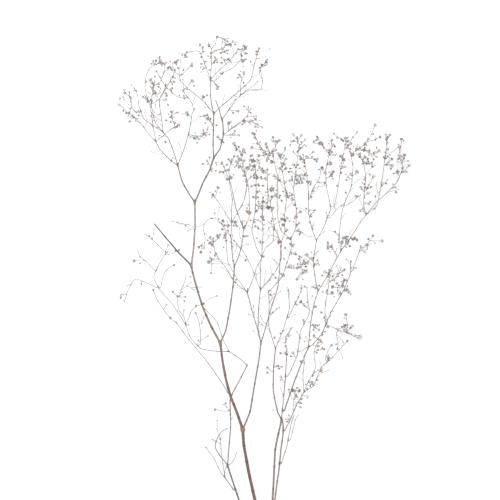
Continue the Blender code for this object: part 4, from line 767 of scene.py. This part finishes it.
def grow_blooms(laid, room, draw):
    """Every floret on a stalk: the one that is easiest to reach is grown first, from what stands then."""
    places = sprouting_places(laid)
    waiting = []
    for size, spots in FLORETS.items():
        for spot in spots:
            target = in_plan(*spot)
            costs = [(reach(place, heading, target), i) for i, (place, _, heading) in enumerate(places)]
            waiting.append([min(costs), target, FLORET_WIDTHS[size], spot in RESTING])
    blooms = []
    while waiting:
        waiting.sort(key=lambda item: item[0][0])
        (_, index), target, width, resting = waiting.pop(0)
        root, node, _ = places[index]
        width *= draw.uniform(*WIDTH_DRAW)
        centre = stand_bloom(root, target, width, resting, node, room, draw)
        if centre is None:
            continue
        blooms.append(Bloom(node, root, centre, width, draw.uniform(0, math.tau)))
        room.take(centre, width * BLOOM_ROOM, node)
        for place, radius in along([root, centre], [STALK_RADIUS / MM] * 2):
            room.take(place, radius, node)
        fork = root.lerp(centre, FORK_SHARE)
        heading = (centre - root).normalized()
        places.append((fork, node, heading))
        for item in waiting:
            item[0] = min(item[0], (reach(fork, heading, item[1]), len(places) - 1))
    return blooms


class Skin:
    """One piece's mesh as it grows: points with a colour, and four-sided faces with a texture place."""

    def __init__(self):
        self.points = []
        self.tones = []
        self.faces = []
        self.places = []
        self.slots = []
        self.count = 0

    def add(self, points, tones, faces, places, slot):
        self.points.append(points)
        self.tones.append(np.broadcast_to(tones, points.shape))
        self.faces.append(faces + self.count)
        self.places.append(places)
        self.slots.append(np.full(len(faces), slot, dtype=np.int32))
        self.count += len(points)

    def make(self, name, materials):
        mesh = bpy.data.meshes.new(name)
        faces = np.concatenate(self.faces)
        points = np.concatenate(self.points)
        points[:, 2] = np.maximum(points[:, 2], LOWEST)
        mesh.from_pydata(points.tolist(), [], faces.tolist())
        tones = np.concatenate(self.tones)
        colours = np.concatenate([tones, np.ones((len(tones), 1))], axis=1)
        mesh.color_attributes.new("tone", "FLOAT_COLOR", "POINT").data.foreach_set("color", colours.ravel())
        mesh.uv_layers.new(name="grain").data.foreach_set("uv", np.concatenate(self.places).ravel())
        mesh.polygons.foreach_set("use_smooth", [True] * len(faces))
        for material in materials:
            mesh.materials.append(material)
        mesh.polygons.foreach_set("material_index", np.concatenate(self.slots))
        mesh.update()
        piece = bpy.data.objects.new(name, mesh)
        bpy.context.scene.collection.objects.link(piece)
        return piece


def grid_faces(rows, columns, closed):
    """The faces between rows of points, each row closed into a ring or open, with texture corners."""
    faces = []
    places = []
    spans = columns if closed else columns - 1
    for i in range(rows - 1):
        for j in range(spans):
            following = (j + 1) % columns
            faces.append((i * columns + j, i * columns + following,
                          (i + 1) * columns + following, (i + 1) * columns + j))
            places.append(((j, i), (j + 1, i), (j + 1, i + 1), (j, i + 1)))
    return np.array(faces), np.array(places, dtype=float)


def add_tube(skin, line, radii, sides, tones, ridges=0.0):
    """A round tube along a line, with its texture running along it."""
    spots = np.array([tuple(p) for p in line])
    runs = np.gradient(spots, axis=0)
    runs /= np.maximum(np.linalg.norm(runs, axis=1), TINY)[:, None]
    side = np.cross(runs[0], ODD_WAY)
    angles = np.arange(sides) * (math.tau / sides)
    cosines = np.cos(angles)[:, None]
    sines = np.sin(angles)[:, None]
    rings = []
    for spot, run, radius in zip(spots, runs, radii):
        side = side - run * side.dot(run)
        side /= max(np.linalg.norm(side), TINY)
        other = np.cross(run, side)
        reach_out = radius * (1 + ridges * np.sin(angles * RIDGES + spot[1] * RIDGE_WANDER))
        rings.append(spot + reach_out[:, None] * (cosines * side + sines * other))
    faces, places = grid_faces(len(spots), sides, True)
    lengths = np.linalg.norm(np.diff(spots, axis=0), axis=1)
    walked = np.concatenate([[0.0], np.cumsum(lengths)]) / GRAIN_LENGTH
    places[:, :, 1] = walked[places[:, :, 1].astype(int)]
    places[:, :, 0] /= sides
    skin.add(np.concatenate(rings), np.repeat(tones, sides, axis=0), faces, places, BARK)


def mix(low, high, share):
    """A colour between two others."""
    return np.array(low) * (1 - share) + np.array(high) * share


def fine_radius(radius):
    """The true radius of a twig, in mm, where the solids are thicker than life."""
    if radius >= TRUE_FROM_RADIUS:
        return radius
    thinness = (TRUE_FROM_RADIUS - radius) / (TRUE_FROM_RADIUS - STALK_RADIUS / MM)
    return TRUE_FROM_RADIUS + (HAIR_RADIUS - TRUE_FROM_RADIUS) * min(1.0, thinness)


def branch_tone(radius):
    """The colour of a branch by its thickness: reddish brown low down, pale on the thin twigs."""
    if radius > WOOD_RADIUS:
        return mix(STEM_HIGH, STEM_LOW, min(1.0, (radius - WOOD_RADIUS) / WOOD_RANGE))
    return mix(TWIG, STEM_HIGH, max(0.0, (radius - TWIG_RADIUS) / TWIG_RANGE))


def spine(tube):
    """The smooth centre line of a tube with its true radii, sunk into what it grows from."""
    line = smooth(tube.points, FINE_STEP)
    steps = distances(line)
    first, last = tube.radii[0], tube.radii[-1]
    radii = [fine_radius(first + (last - first) * step / steps[-1]) for step in steps]
    if tube.name != "foot":
        line[0] = line[0] + (line[0] - line[1]).normalized() * JOINT_OVERLAP
    return line, radii


def leaf_nodes(whole, draw):
    """Where the old leaf pairs stood along a branch: distances at drawn spacings."""
    nodes = []
    walked = draw.uniform(*NODE_SPACING)
    while walked < whole - NODE_SPACING[0] / 2:
        nodes.append(walked)
        walked += draw.uniform(*NODE_SPACING)
    return nodes


def fork_swell(radius, branch):
    """How far a fork swells its stem: a broad pale collar on thick wood, a small dark knot on a twig."""
    thickness = min(1.0, max(0.0, (radius - TRUE_FROM_RADIUS) / COLLAR_RANGE))
    knot = (1 - thickness) * KNOT_SWELL
    return knot + thickness * COLLAR_SWELL * min(1.0, branch / COLLAR_BRANCH), thickness


def add_branch(skin, tube, knots, forks, draw):
    """One branch with its swollen forks, its darker leaf nodes and an uneven, drying surface."""
    line, radii = spine(tube)
    steps = distances(line)
    nodes = leaf_nodes(steps[-1], draw)
    base = BRANCH_TONES.get(tube.name)
    swollen = []
    tones = []
    for place, radius, step in zip(line, radii, steps):
        _, nearest, gap = knots.find(place)
        bulge, thickness = fork_swell(radius, forks[nearest][2])
        knot = math.exp(-(gap / (KNOT_REACH + KNOT_GIRTH * radius * MM)) ** 2)
        node = max([math.exp(-((step - spot) / NODE_REACH) ** 2) for spot in nodes], default=0.0)
        swell = 1 + bulge * knot + NODE_SWELL * node * min(1.0, NODE_TWIG_RADIUS / radius)
        swollen.append(radius * swell * draw.uniform(*GIRTH_DRAW) * MM)
        tone = np.array(base or branch_tone(radius)) * draw.uniform(*TONE_DRAW)
        collar = mix(BRACT, PALE_STEM, thickness)
        tones.append(mix(tone, collar, KNOT_TINT * knot) * (1 - NODE_DARKNESS * node))
    line_end = line[-1] + (line[-1] - line[-2]).normalized() * swollen[-1] * TIP_LENGTH
    sides, ridges = (STEM_SIDES, STEM_RIDGES) if max(radii) > THICK_RADIUS else (TWIG_SIDES, TWIG_RIDGES)
    shades = np.array(tones + [tones[-1]])
    add_tube(skin, line + [line_end], swollen + [TIP_RADIUS], sides, shades, ridges)
    for spot in nodes:
        i = min(range(len(steps) - 1), key=lambda k: abs(steps[k] - spot))
        heading = (line[i + 1] - line[i]).normalized()
        add_bracts(skin, line[i], heading, radii[i] * MM, (NODE_BRACT_MM + radii[i]) * MM, draw)


def add_cut_face(skin, tube):
    """The cut end of the main stem: a flat disc with a pale pith."""
    line, radii = spine(tube)
    outward = (line[0] - line[1]).normalized()
    spots = [line[0] - outward * MM] + [line[0] + outward * depth * MM for _, depth in CUT_FACE]
    widths = [radii[0] * MM] + [radii[0] * share * MM for share, _ in CUT_FACE]
    bark = branch_tone(radii[0])
    rim, ring = mix(PITH, STEM_LOW, PITH_RIM), mix(PITH, STEM_LOW, PITH_RING)
    tones = np.array([bark, bark, rim, PITH, ring, PITH])
    add_tube(skin, spots, widths, CUT_SIDES, tones)


def add_blade(skin, root, heading, outward, length, width, tone):
    """A small dried bract: a cupped, pointed blade that leans away from the stem."""
    across_it = heading.cross(outward).normalized()
    rows = []
    shades = []
    for i, (along_it, spread, lean) in enumerate(BRACT_ROWS):
        middle = root + heading * length * along_it + outward * length * lean
        edge = across_it * width * spread / 2
        fold = outward * width * BRACT_FOLD * spread
        rows += [tuple(middle - edge + fold), tuple(middle), tuple(middle + edge + fold)]
        # Painted shade: each row of the bract is darker near the stem and lighter towards its point.
        shades += [tone * (BRACT_PAINTED_SHADE + BRACT_PAINTED_SHADE_STEP * i)] * 3
    faces, places = grid_faces(len(BRACT_ROWS), 3, False)
    skin.add(np.array(rows), np.array(shades), faces, places / 3, BARK)


def sideways(heading, draw):
    """A direction square to a heading, to a drawn side."""
    away = heading.orthogonal().normalized()
    away.rotate(Quaternion(heading, draw.uniform(0, math.tau)))
    return away


def add_bracts(skin, place, heading, radius, length, draw):
    """The pair of bracts that stands at a fork or a leaf node."""
    outward = sideways(heading, draw)
    for side in (1, -1):
        root = place + outward * side * radius * BRACT_SEAT
        own_length = length * draw.uniform(*BRACT_LENGTH_DRAW)
        tone = np.array(BRACT) * draw.uniform(*BRACT_TONE_DRAW)
        add_blade(skin, root, heading, outward * side, own_length, length * BRACT_BREADTH, tone)


def petal_rows(tilt, curl, length, width, draw):
    """One crumpled petal as rows of points, from its claw in the calyx to its ragged tip."""
    angle = tilt - curl * CURL_START
    spot = np.array((0.0, 0.0, PETAL_FOOT))
    phase = draw.uniform(0, math.tau)
    last = len(PETAL_SHARES) - 1
    rows = []
    for i, (share, breadth) in enumerate(zip(PETAL_SHARES, PETAL_BREADTHS)):
        run = share - PETAL_SHARES[i - 1] if i else 0.0
        angle += curl * run
        growing = np.array((math.sin(angle), 0.0, math.cos(angle)))
        spot = spot + growing * (run * length)
        facing_in = np.array((-math.cos(angle), 0.0, math.sin(angle)))
        for j, across_it in enumerate(PETAL_ACROSS):
            wave = CRINKLE * math.sin(phase + j * CRINKLE_ACROSS + i * CRINKLE_ALONG)
            ruffle = wave + draw.uniform(*CRINKLE_DRAW) * CRINKLE
            cup = PETAL_CUP * breadth * across_it ** 2
            ragged = draw.uniform(*RAGGED_DRAW) if i == last else 0.0
            edge = np.array((0.0, across_it * width * breadth / 2, 0.0))
            rows.append(spot + edge + facing_in * (ruffle * share + cup) + growing * ragged)
    return np.array(rows)


def spun(points, angle):
    """Points turned about Z."""
    cosine, sine = math.cos(angle), math.sin(angle)
    return points @ np.array(((cosine, sine, 0.0), (-sine, cosine, 0.0), (0.0, 0.0, 1.0)))


def calyx_rings():
    """The calyx as rings of points, its rim drawn out into teeth."""
    rim = len(CALYX_PROFILE) - 1
    points = []
    for i, (radius, height) in enumerate(CALYX_PROFILE):
        for j in range(CALYX_SIDES):
            odd = j % 2
            tooth = TOOTH_HEIGHT * (1 if odd else -1) if i == rim else 0.0
            flare = TOOTH_FLARE * odd if i == rim else 0.0
            angle = math.tau * j / CALYX_SIDES
            wide = radius + flare + CALYX_RIBS[odd] * (i > 0)
            points.append((wide * math.cos(angle), wide * math.sin(angle), height + tooth))
    return np.array(points)


def floret_form(draw):
    """A double floret about one unit wide, facing +Z: whorls of crumpled petals in a toothed calyx."""
    rows, columns = len(PETAL_SHARES), len(PETAL_ACROSS)
    petal_faces, petal_places = grid_faces(rows, columns, False)
    points = []
    faces = []
    places = []
    shades = []
    for whorl, (petals, tilt, length, width) in enumerate(WHORLS):
        start = draw.uniform(0, math.tau)
        for i in range(petals):
            lean = tilt + draw.uniform(*TILT_DRAW)
            size = length * draw.uniform(*PETAL_LENGTH_DRAW)
            curl = draw.uniform(*CURL_DRAW)
            petal = petal_rows(lean, curl, size, width * draw.uniform(*PETAL_WIDTH_DRAW), draw)
            faces.append(petal_faces + len(points) * rows * columns)
            points.append(spun(petal, start + math.tau * i / petals + draw.uniform(*PETAL_TURN_DRAW)))
            places.append(petal_places / columns)
            # Painted shade: the inner whorls are darker, on top of a drawn tone for each petal.
            light = draw.uniform(*PETAL_LIGHT_DRAW) * (1.0 - WHORL_PAINTED_SHADE * whorl)
            # Painted shade: each petal is darker at its claw and lighter towards its tip.
            shades.append(np.repeat(np.array(PETAL_PAINTED_SHADES) * light, columns))
    calyx_faces, calyx_places = grid_faces(len(CALYX_PROFILE), CALYX_SIDES, True)
    petal_count = len(points) * rows * columns
    calyx_count = len(CALYX_PROFILE) * CALYX_SIDES
    points.append(calyx_rings())
    faces.append(calyx_faces + petal_count)
    places.append(calyx_places / CALYX_SIDES)
    # Painted shade: the sunken sides of the calyx are darker, the raised ribs lighter.
    shades.append(np.tile(CALYX_PAINTED_SHADES, calyx_count // 2))
    parts = np.repeat((0, 1), (petal_count, calyx_count))
    joined = [np.concatenate(pieces) for pieces in (points, faces, places, shades)]
    return (*joined, parts)


def bud_form():
    """A closed bud one unit wide, facing +Z: a ribbed oval with its petals' tip just showing."""
    faces, places = grid_faces(len(BUD_PROFILE), BUD_SIDES, True)
    points = []
    shades = []
    for i, (radius, height) in enumerate(BUD_PROFILE):
        for j in range(BUD_SIDES):
            angle = math.tau * j / BUD_SIDES + i * BUD_TWIST
            wide = radius * BUD_RIBS[j % 2]
            points.append((wide * math.cos(angle), wide * math.sin(angle), height))
            # Painted shade: darker at the base and on the sunken sides, lighter towards the tip and on the
            # ribs.
            shades.append((BUD_PAINTED_SHADE + BUD_PAINTED_SHADE_STEP * i) * BUD_RIB_PAINTED_SHADES[j % 2])
    return np.array(points), faces, places / BUD_SIDES, np.array(shades), np.repeat(BUD_PARTS, BUD_SIDES)


def facing(axis, turn):
    """The turn that takes +Z to an axis, with a spin about it."""
    spin = Vector((0, 0, 1)).rotation_difference(axis) @ Quaternion((0, 0, 1), turn)
    return np.array(spin.to_matrix())


def add_form(skin, form, centre, axis, turn, width, petal, calyx):
    """One floret or bud, set at its centre and facing along its axis."""
    points, faces, places, shades, parts = form
    placed = points * width @ facing(axis, turn).T + np.array(tuple(centre))
    # The form's shades hold painted shade (petal claws, inner whorls, sunken calyx sides, bud bases) and
    # multiply the petal and calyx colours.
    tones = np.where(parts[:, None] == 0, petal, calyx) * shades[:, None]
    skin.add(placed, tones, faces, places, PETAL)


def add_stalk(skin, root, tip, bow, radius, tones, draw):
    """A hair-fine stalk from a twig to a calyx, slightly bowed, thicker at both ends."""
    run = tip - root
    aside = run.normalized().orthogonal()
    aside.rotate(Quaternion(run.normalized(), draw.uniform(0, math.tau)))
    count = max(3, math.ceil(run.length / STALK_STEP))
    line = []
    radii = []
    shades = []
    for i in range(count + 1):
        share = i / count
        line.append(root.lerp(tip, share) + aside * bow * run.length * math.sin(math.pi * share))
        foot = STALK_FOOT * math.exp(-(share * run.length / STALK_FOOT_REACH) ** 2)
        ends = foot + STALK_TOP * share ** STALK_TOP_POWER
        radii.append(radius * (1 + ends) * draw.uniform(*STALK_DRAW))
        shades.append(mix(tones[0], tones[1], share))
    add_tube(skin, line, radii, STALK_SIDES, np.array(shades))
    return line


def bloom_axis(bloom):
    """The way a floret faces: along its stalk, turned a little up to the light."""
    return ((bloom.centre - bloom.root).normalized() + Vector((0.0, 0.0, FACE_UP))).normalized()


def inside(place):
    """Whether a place lies well within the solids' box."""
    low = (cad_box[0][0] + EDGE_ROOM, cad_box[0][1] + EDGE_ROOM, cad_box[0][2] + FLOOR_ROOM)
    high = (cad_box[1][0] - EDGE_ROOM, cad_box[1][1] - EDGE_ROOM, cad_box[1][2] - EDGE_ROOM)
    return all(a < value < b for a, value, b in zip(low, place, high))


def leaning(heading, lean, draw):
    """A direction that leans away from a heading to a drawn side."""
    away = sideways(heading, draw)
    return (heading * draw.uniform(*lean) + away).normalized()


def add_hair(skin, form, root, heading, draw):
    """A faint bare side twig, as the crowns are full of, sometimes with a bud at its tip."""
    tip = root + leaning(heading, HAIR_LEAN, draw) * draw.uniform(*HAIR_LENGTHS)
    if not inside(tip):
        return
    twig = np.array(TWIG)
    line = add_stalk(skin, root, tip, HAIR_BOW, HAIR_TWIG_RADIUS, (twig, twig), draw)
    if draw.random() < HAIR_BUD_SHARE:
        width = BUD_WIDTHS[0]
        end = (line[-1] - line[-2]).normalized()
        turn = draw.uniform(0, math.tau)
        centre = tip + end * width * BUD_SEAT
        add_form(skin, form, centre, end, turn, width, np.array(PETALS[1]), np.array(CALYX))


def add_bud(skin, form, root, heading, draw):
    """A small closed bud on a hair of its own, beside a stalk."""
    aim = leaning(heading, BUD_LEAN, draw)
    length = draw.uniform(*BUD_STALKS)
    width = draw.uniform(*BUD_WIDTHS)
    centre = root + aim * length
    if not inside(centre):
        return
    shade = draw.uniform(*BUD_TONE_DRAW)
    tones = (mix(TWIG, BRACT, BUD_STALK_TINT), np.array(CALYX))
    add_stalk(skin, root, centre - aim * width * BUD_SEAT, STALK_BOW, BUD_STALK_RADIUS, tones, draw)
    petal = np.array(PETALS[0]) * shade
    calyx = np.array(CALYX) * shade * BUD_CALYX_TONE
    add_form(skin, form, centre, aim, draw.uniform(0, math.tau), width, petal, calyx)


def tree_of(places):
    """A search tree of places."""
    tree = kdtree.KDTree(len(places))
    for i, place in enumerate(places):
        tree.insert(place, i)
    tree.balance()
    return tree


def buds_beside(node):
    """The numbers of buds that a stalk of a spray can carry, to draw from."""
    if node in DENSE_SPRAYS:
        return DENSE_BUDS
    return SPARSE_BUDS if node in SPARSE_SPRAYS else BUDS_PER_STALK


def add_floret(skin, bloom, form_set, stalk_places, draw):
    """One floret on its stalk, which springs from the nearest twig or stalk; gives back the stalk."""
    root = tree_of(stalk_places).find(bloom.root)[0]
    axis = bloom_axis(bloom)
    tip = bloom.centre - axis * bloom.width * FLORET_SEAT
    tones = (mix(TWIG, BRACT, draw.uniform(*STALK_TINT_DRAW)), mix(TWIG, CALYX, STALK_TOP_TINT))
    line = add_stalk(skin, root, tip, STALK_BOW, HAIR_RADIUS * MM, tones, draw)
    stalk_places += smooth(line, MM)[2:-1]
    heading = (tip - root).normalized()
    if (tip - root).length > BRACT_STALK:
        fork = line[round(FORK_SHARE * (len(line) - 1))]
        add_bracts(skin, fork, heading, HAIR_RADIUS * MM, STALK_BRACT, draw)
    large = bloom.width > FLORET_WIDTHS["full"] * LARGE_FROM
    tan = draw.random() < (TAN_SHARE_LARGE if large else TAN_SHARE)
    petal = np.array(draw.choice(TAN_PETALS if tan else PETALS)) * draw.uniform(*PETAL_TONE_DRAW)
    calyx = np.array(CALYX) * draw.uniform(*CALYX_TONE_DRAW)
    form = draw.choice(form_set)
    add_form(skin, form, bloom.centre, axis, bloom.turn, bloom.width * FLORET_SPREAD, petal, calyx)
    return line, heading


def stations(line, every):
    """Every so many points along a line, each with the direction of growth there."""
    for place, following in zip(line[every - 1::every], line[every::every]):
        yield place, (following - place).normalized()


def add_twig_buds(skin, node, tube, bud, knots, draw):
    """The buds along a thin twig, where its spray is full enough, and one at its tip."""
    line, _ = spine(tube)
    for place, heading in stations(line, BUD_EVERY):
        if node not in SPARSE_SPRAYS and draw.random() < TWIG_BUD_SHARE:
            add_bud(skin, bud, place, heading, draw)
    if knots.find(line[-1])[2] < END_BUD_CLEARANCE:
        return
    aim = (line[-1] - line[-2]).normalized()
    width = draw.uniform(*BUD_WIDTHS)
    petal = np.array(PETALS[0]) * END_BUD_TONE
    turn = draw.uniform(0, math.tau)
    add_form(skin, bud, line[-1] + aim * width * END_BUD_SEAT, aim, turn, width, petal, np.array(CALYX))


def dress(node, tubes, blooms, forks, materials, draw):
    """One finer piece for a node: branches, bracts, stalks, florets, buds and faint side twigs."""
    skin = Skin()
    knots = tree_of([place for place, _, _ in forks])
    seats = []
    for tube in tubes:
        add_branch(skin, tube, knots, forks, draw)
        seats += spine(tube)[0]
    if node == MAIN:
        add_cut_face(skin, tubes[0])
    for place, heading, radius in forks:
        if any((seat - place).length < FORK_NEAR for seat in seats[::2]):
            length = (FORK_BRACT_MM + radius) * MM
            add_bracts(skin, place + heading * MM, heading, fine_radius(radius) * MM, length, draw)
    form_set = [floret_form(draw) for _ in range(FLORET_FORMS)]
    bud = bud_form()
    for bloom in blooms:
        line, heading = add_floret(skin, bloom, form_set, seats, draw)
        for _ in range(draw.choice(buds_beside(node))):
            add_bud(skin, bud, line[draw.randrange(1, len(line) - 1)], heading, draw)
    thin = [tube for tube in tubes if max(tube.radii) <= BUDDING_RADIUS and tube.name not in BARE_ROUTES]
    if node != MAIN:
        for tube in thin:
            add_twig_buds(skin, node, tube, bud, knots, draw)
    if node != MAIN and node not in SPARSE_SPRAYS:
        for tube in thin:
            for place, heading in stations(spine(tube)[0], HAIR_EVERY):
                if draw.random() < HAIR_SHARE:
                    add_hair(skin, bud, place, heading, draw)
    piece = skin.make(node.replace("spray", "fine_spray").replace("main", "fine_main"), materials)
    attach(piece, "root")
    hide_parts(node)
    return piece


def new_material(name):
    """A material with its nodes, its links and its surface shader."""
    material = bpy.data.materials.new(name)
    material.use_nodes = True
    nodes = material.node_tree.nodes
    return material, nodes, material.node_tree.links, nodes["Principled BSDF"]


def set_inputs(node, values):
    """Sets a shader node's sockets, by name, to plain values."""
    for name, value in values.items():
        node.inputs[name].default_value = value


def toned(nodes, links, surface, spread, scale, detail, stretch):
    """The mesh's own tone times a mottled brightness, as the base colour; gives back the mottle."""
    tone = nodes.new("ShaderNodeVertexColor")
    tone.layer_name = "tone"
    place = nodes.new("ShaderNodeUVMap")
    place.uv_map = "grain"
    mapping = nodes.new("ShaderNodeMapping")
    set_inputs(mapping, {"Scale": stretch})
    mottle = nodes.new("ShaderNodeTexNoise")
    set_inputs(mottle, {"Scale": scale, "Detail": detail})
    ramp = nodes.new("ShaderNodeMapRange")
    low, high = MOTTLE_RANGE
    set_inputs(ramp, {"From Min": low, "From Max": high, "To Min": 1 - spread, "To Max": 1 + spread})
    times = nodes.new("ShaderNodeVectorMath")
    times.operation = "MULTIPLY"
    links.new(place.outputs["UV"], mapping.inputs["Vector"])
    links.new(mapping.outputs["Vector"], mottle.inputs["Vector"])
    links.new(mottle.outputs["Fac"], ramp.inputs["Value"])
    links.new(tone.outputs["Color"], times.inputs[0])
    links.new(ramp.outputs["Result"], times.inputs[1])
    links.new(times.outputs["Vector"], surface.inputs["Base Color"])
    return mottle


def add_bump(nodes, links, surface, mottle, strength, distance):
    """A fine relief that follows the mottle."""
    bump = nodes.new("ShaderNodeBump")
    set_inputs(bump, {"Strength": strength, "Distance": distance})
    links.new(mottle.outputs["Fac"], bump.inputs["Height"])
    links.new(bump.outputs["Normal"], surface.inputs["Normal"])


def bark_material():
    """Dry stem skin: fine lengthwise streaks and ribs."""
    material, nodes, links, surface = new_material("dry_stem_skin")
    streaks = toned(nodes, links, surface, spread=0.22, scale=3.0, detail=6.0, stretch=(9.0, 0.9, 1.0))
    add_bump(nodes, links, surface, streaks, strength=0.5, distance=0.15 * MM)
    set_inputs(surface, {"Roughness": 0.72, "Specular IOR Level": 0.3})
    return material


def petal_material():
    """Papery dried petals: thin, matte, with a faint sheen."""
    material, nodes, links, surface = new_material("papery_petals")
    veins = toned(nodes, links, surface, spread=0.14, scale=5.0, detail=4.0, stretch=(3.0, 1.0, 1.0))
    add_bump(nodes, links, surface, veins, strength=0.35, distance=0.08 * MM)
    set_inputs(surface, {"Roughness": 0.88, "Specular IOR Level": 0.2, "Sheen Weight": 0.15,
                         "Sheen Roughness": 0.6})
    return material


def add_floor():
    """The white surface that the stem lies on."""
    bpy.ops.mesh.primitive_plane_add(size=FLOOR_SIZE, location=(0.0, 0.0, 0.0))
    floor = bpy.context.object
    floor.name = "white_surface"
    material, _, _, surface = new_material("white_surface")
    set_inputs(surface, {"Base Color": FLOOR_WHITE, "Roughness": 0.9, "Specular IOR Level": 0.1,
                         "Emission Color": WHITE, "Emission Strength": FLOOR_GLOW})
    floor.data.materials.append(material)


def add_window():
    """One soft square light from the upper left, for some shape."""
    light = bpy.data.lights.new("soft_window", "AREA")
    light.size = WINDOW_SIZE
    light.energy = WINDOW_WATTS
    lamp = bpy.data.objects.new("soft_window", light)
    lamp.location = WINDOW_PLACE
    lamp.rotation_euler = (Vector(WINDOW_AIM) - Vector(WINDOW_PLACE)).to_track_quat("-Z", "Y").to_euler()
    bpy.context.scene.collection.objects.link(lamp)


def add_studio():
    """A bright, even white room and its window."""
    world = bpy.data.worlds.new("white_room")
    world.use_nodes = True
    set_inputs(world.node_tree.nodes["Background"], {"Color": WHITE, "Strength": ROOM_LIGHT})
    bpy.context.scene.world = world
    add_window()
    bpy.context.scene.view_settings.view_transform = "Standard"


def add_camera():
    """Straight down from far off, framed as the photograph is: its cut end lies below the frame."""
    view = bpy.data.cameras.new("camera")
    view.sensor_width = SENSOR
    frame_width = PHOTO_PIXELS * PLAN_UNIT
    view.lens = SENSOR * (CAMERA_HEIGHT - CROWN_HEIGHT) / frame_width
    view.clip_end = 4 * CAMERA_HEIGHT
    camera = bpy.data.objects.new("camera", view)
    middle = in_plan(PHOTO_PIXELS / 2, PHOTO_PIXELS / 2, CAMERA_HEIGHT)
    camera.location = middle
    bpy.context.scene.collection.objects.link(camera)
    bpy.context.scene.camera = camera


def fork_places(laid):
    """Where each branch leaves its parent: the place, the parent's heading, the branch's radius in mm."""
    forks = []
    for name, route in ROUTES.items():
        if route.parent:
            root = laid[name][0]
            forks.append((root, heading_at({route.parent: laid[route.parent]}, root), route.root_mm))
    return forks


def main():
    room = Room()
    laid, tubes = lay_routes(room)
    blooms = grow_blooms(laid, room, random.Random(SEED))
    forks = fork_places(laid)
    materials = [bark_material(), petal_material()]
    for i, node in enumerate(dict.fromkeys(tube.node for tube in tubes)):
        own_tubes = [tube for tube in tubes if tube.node == node]
        own_blooms = [bloom for bloom in blooms if bloom.node == node]
        dress(node, own_tubes, own_blooms, forks, materials, random.Random(SEED + i + 1))
    add_floor()
    add_studio()
    add_camera()


main()
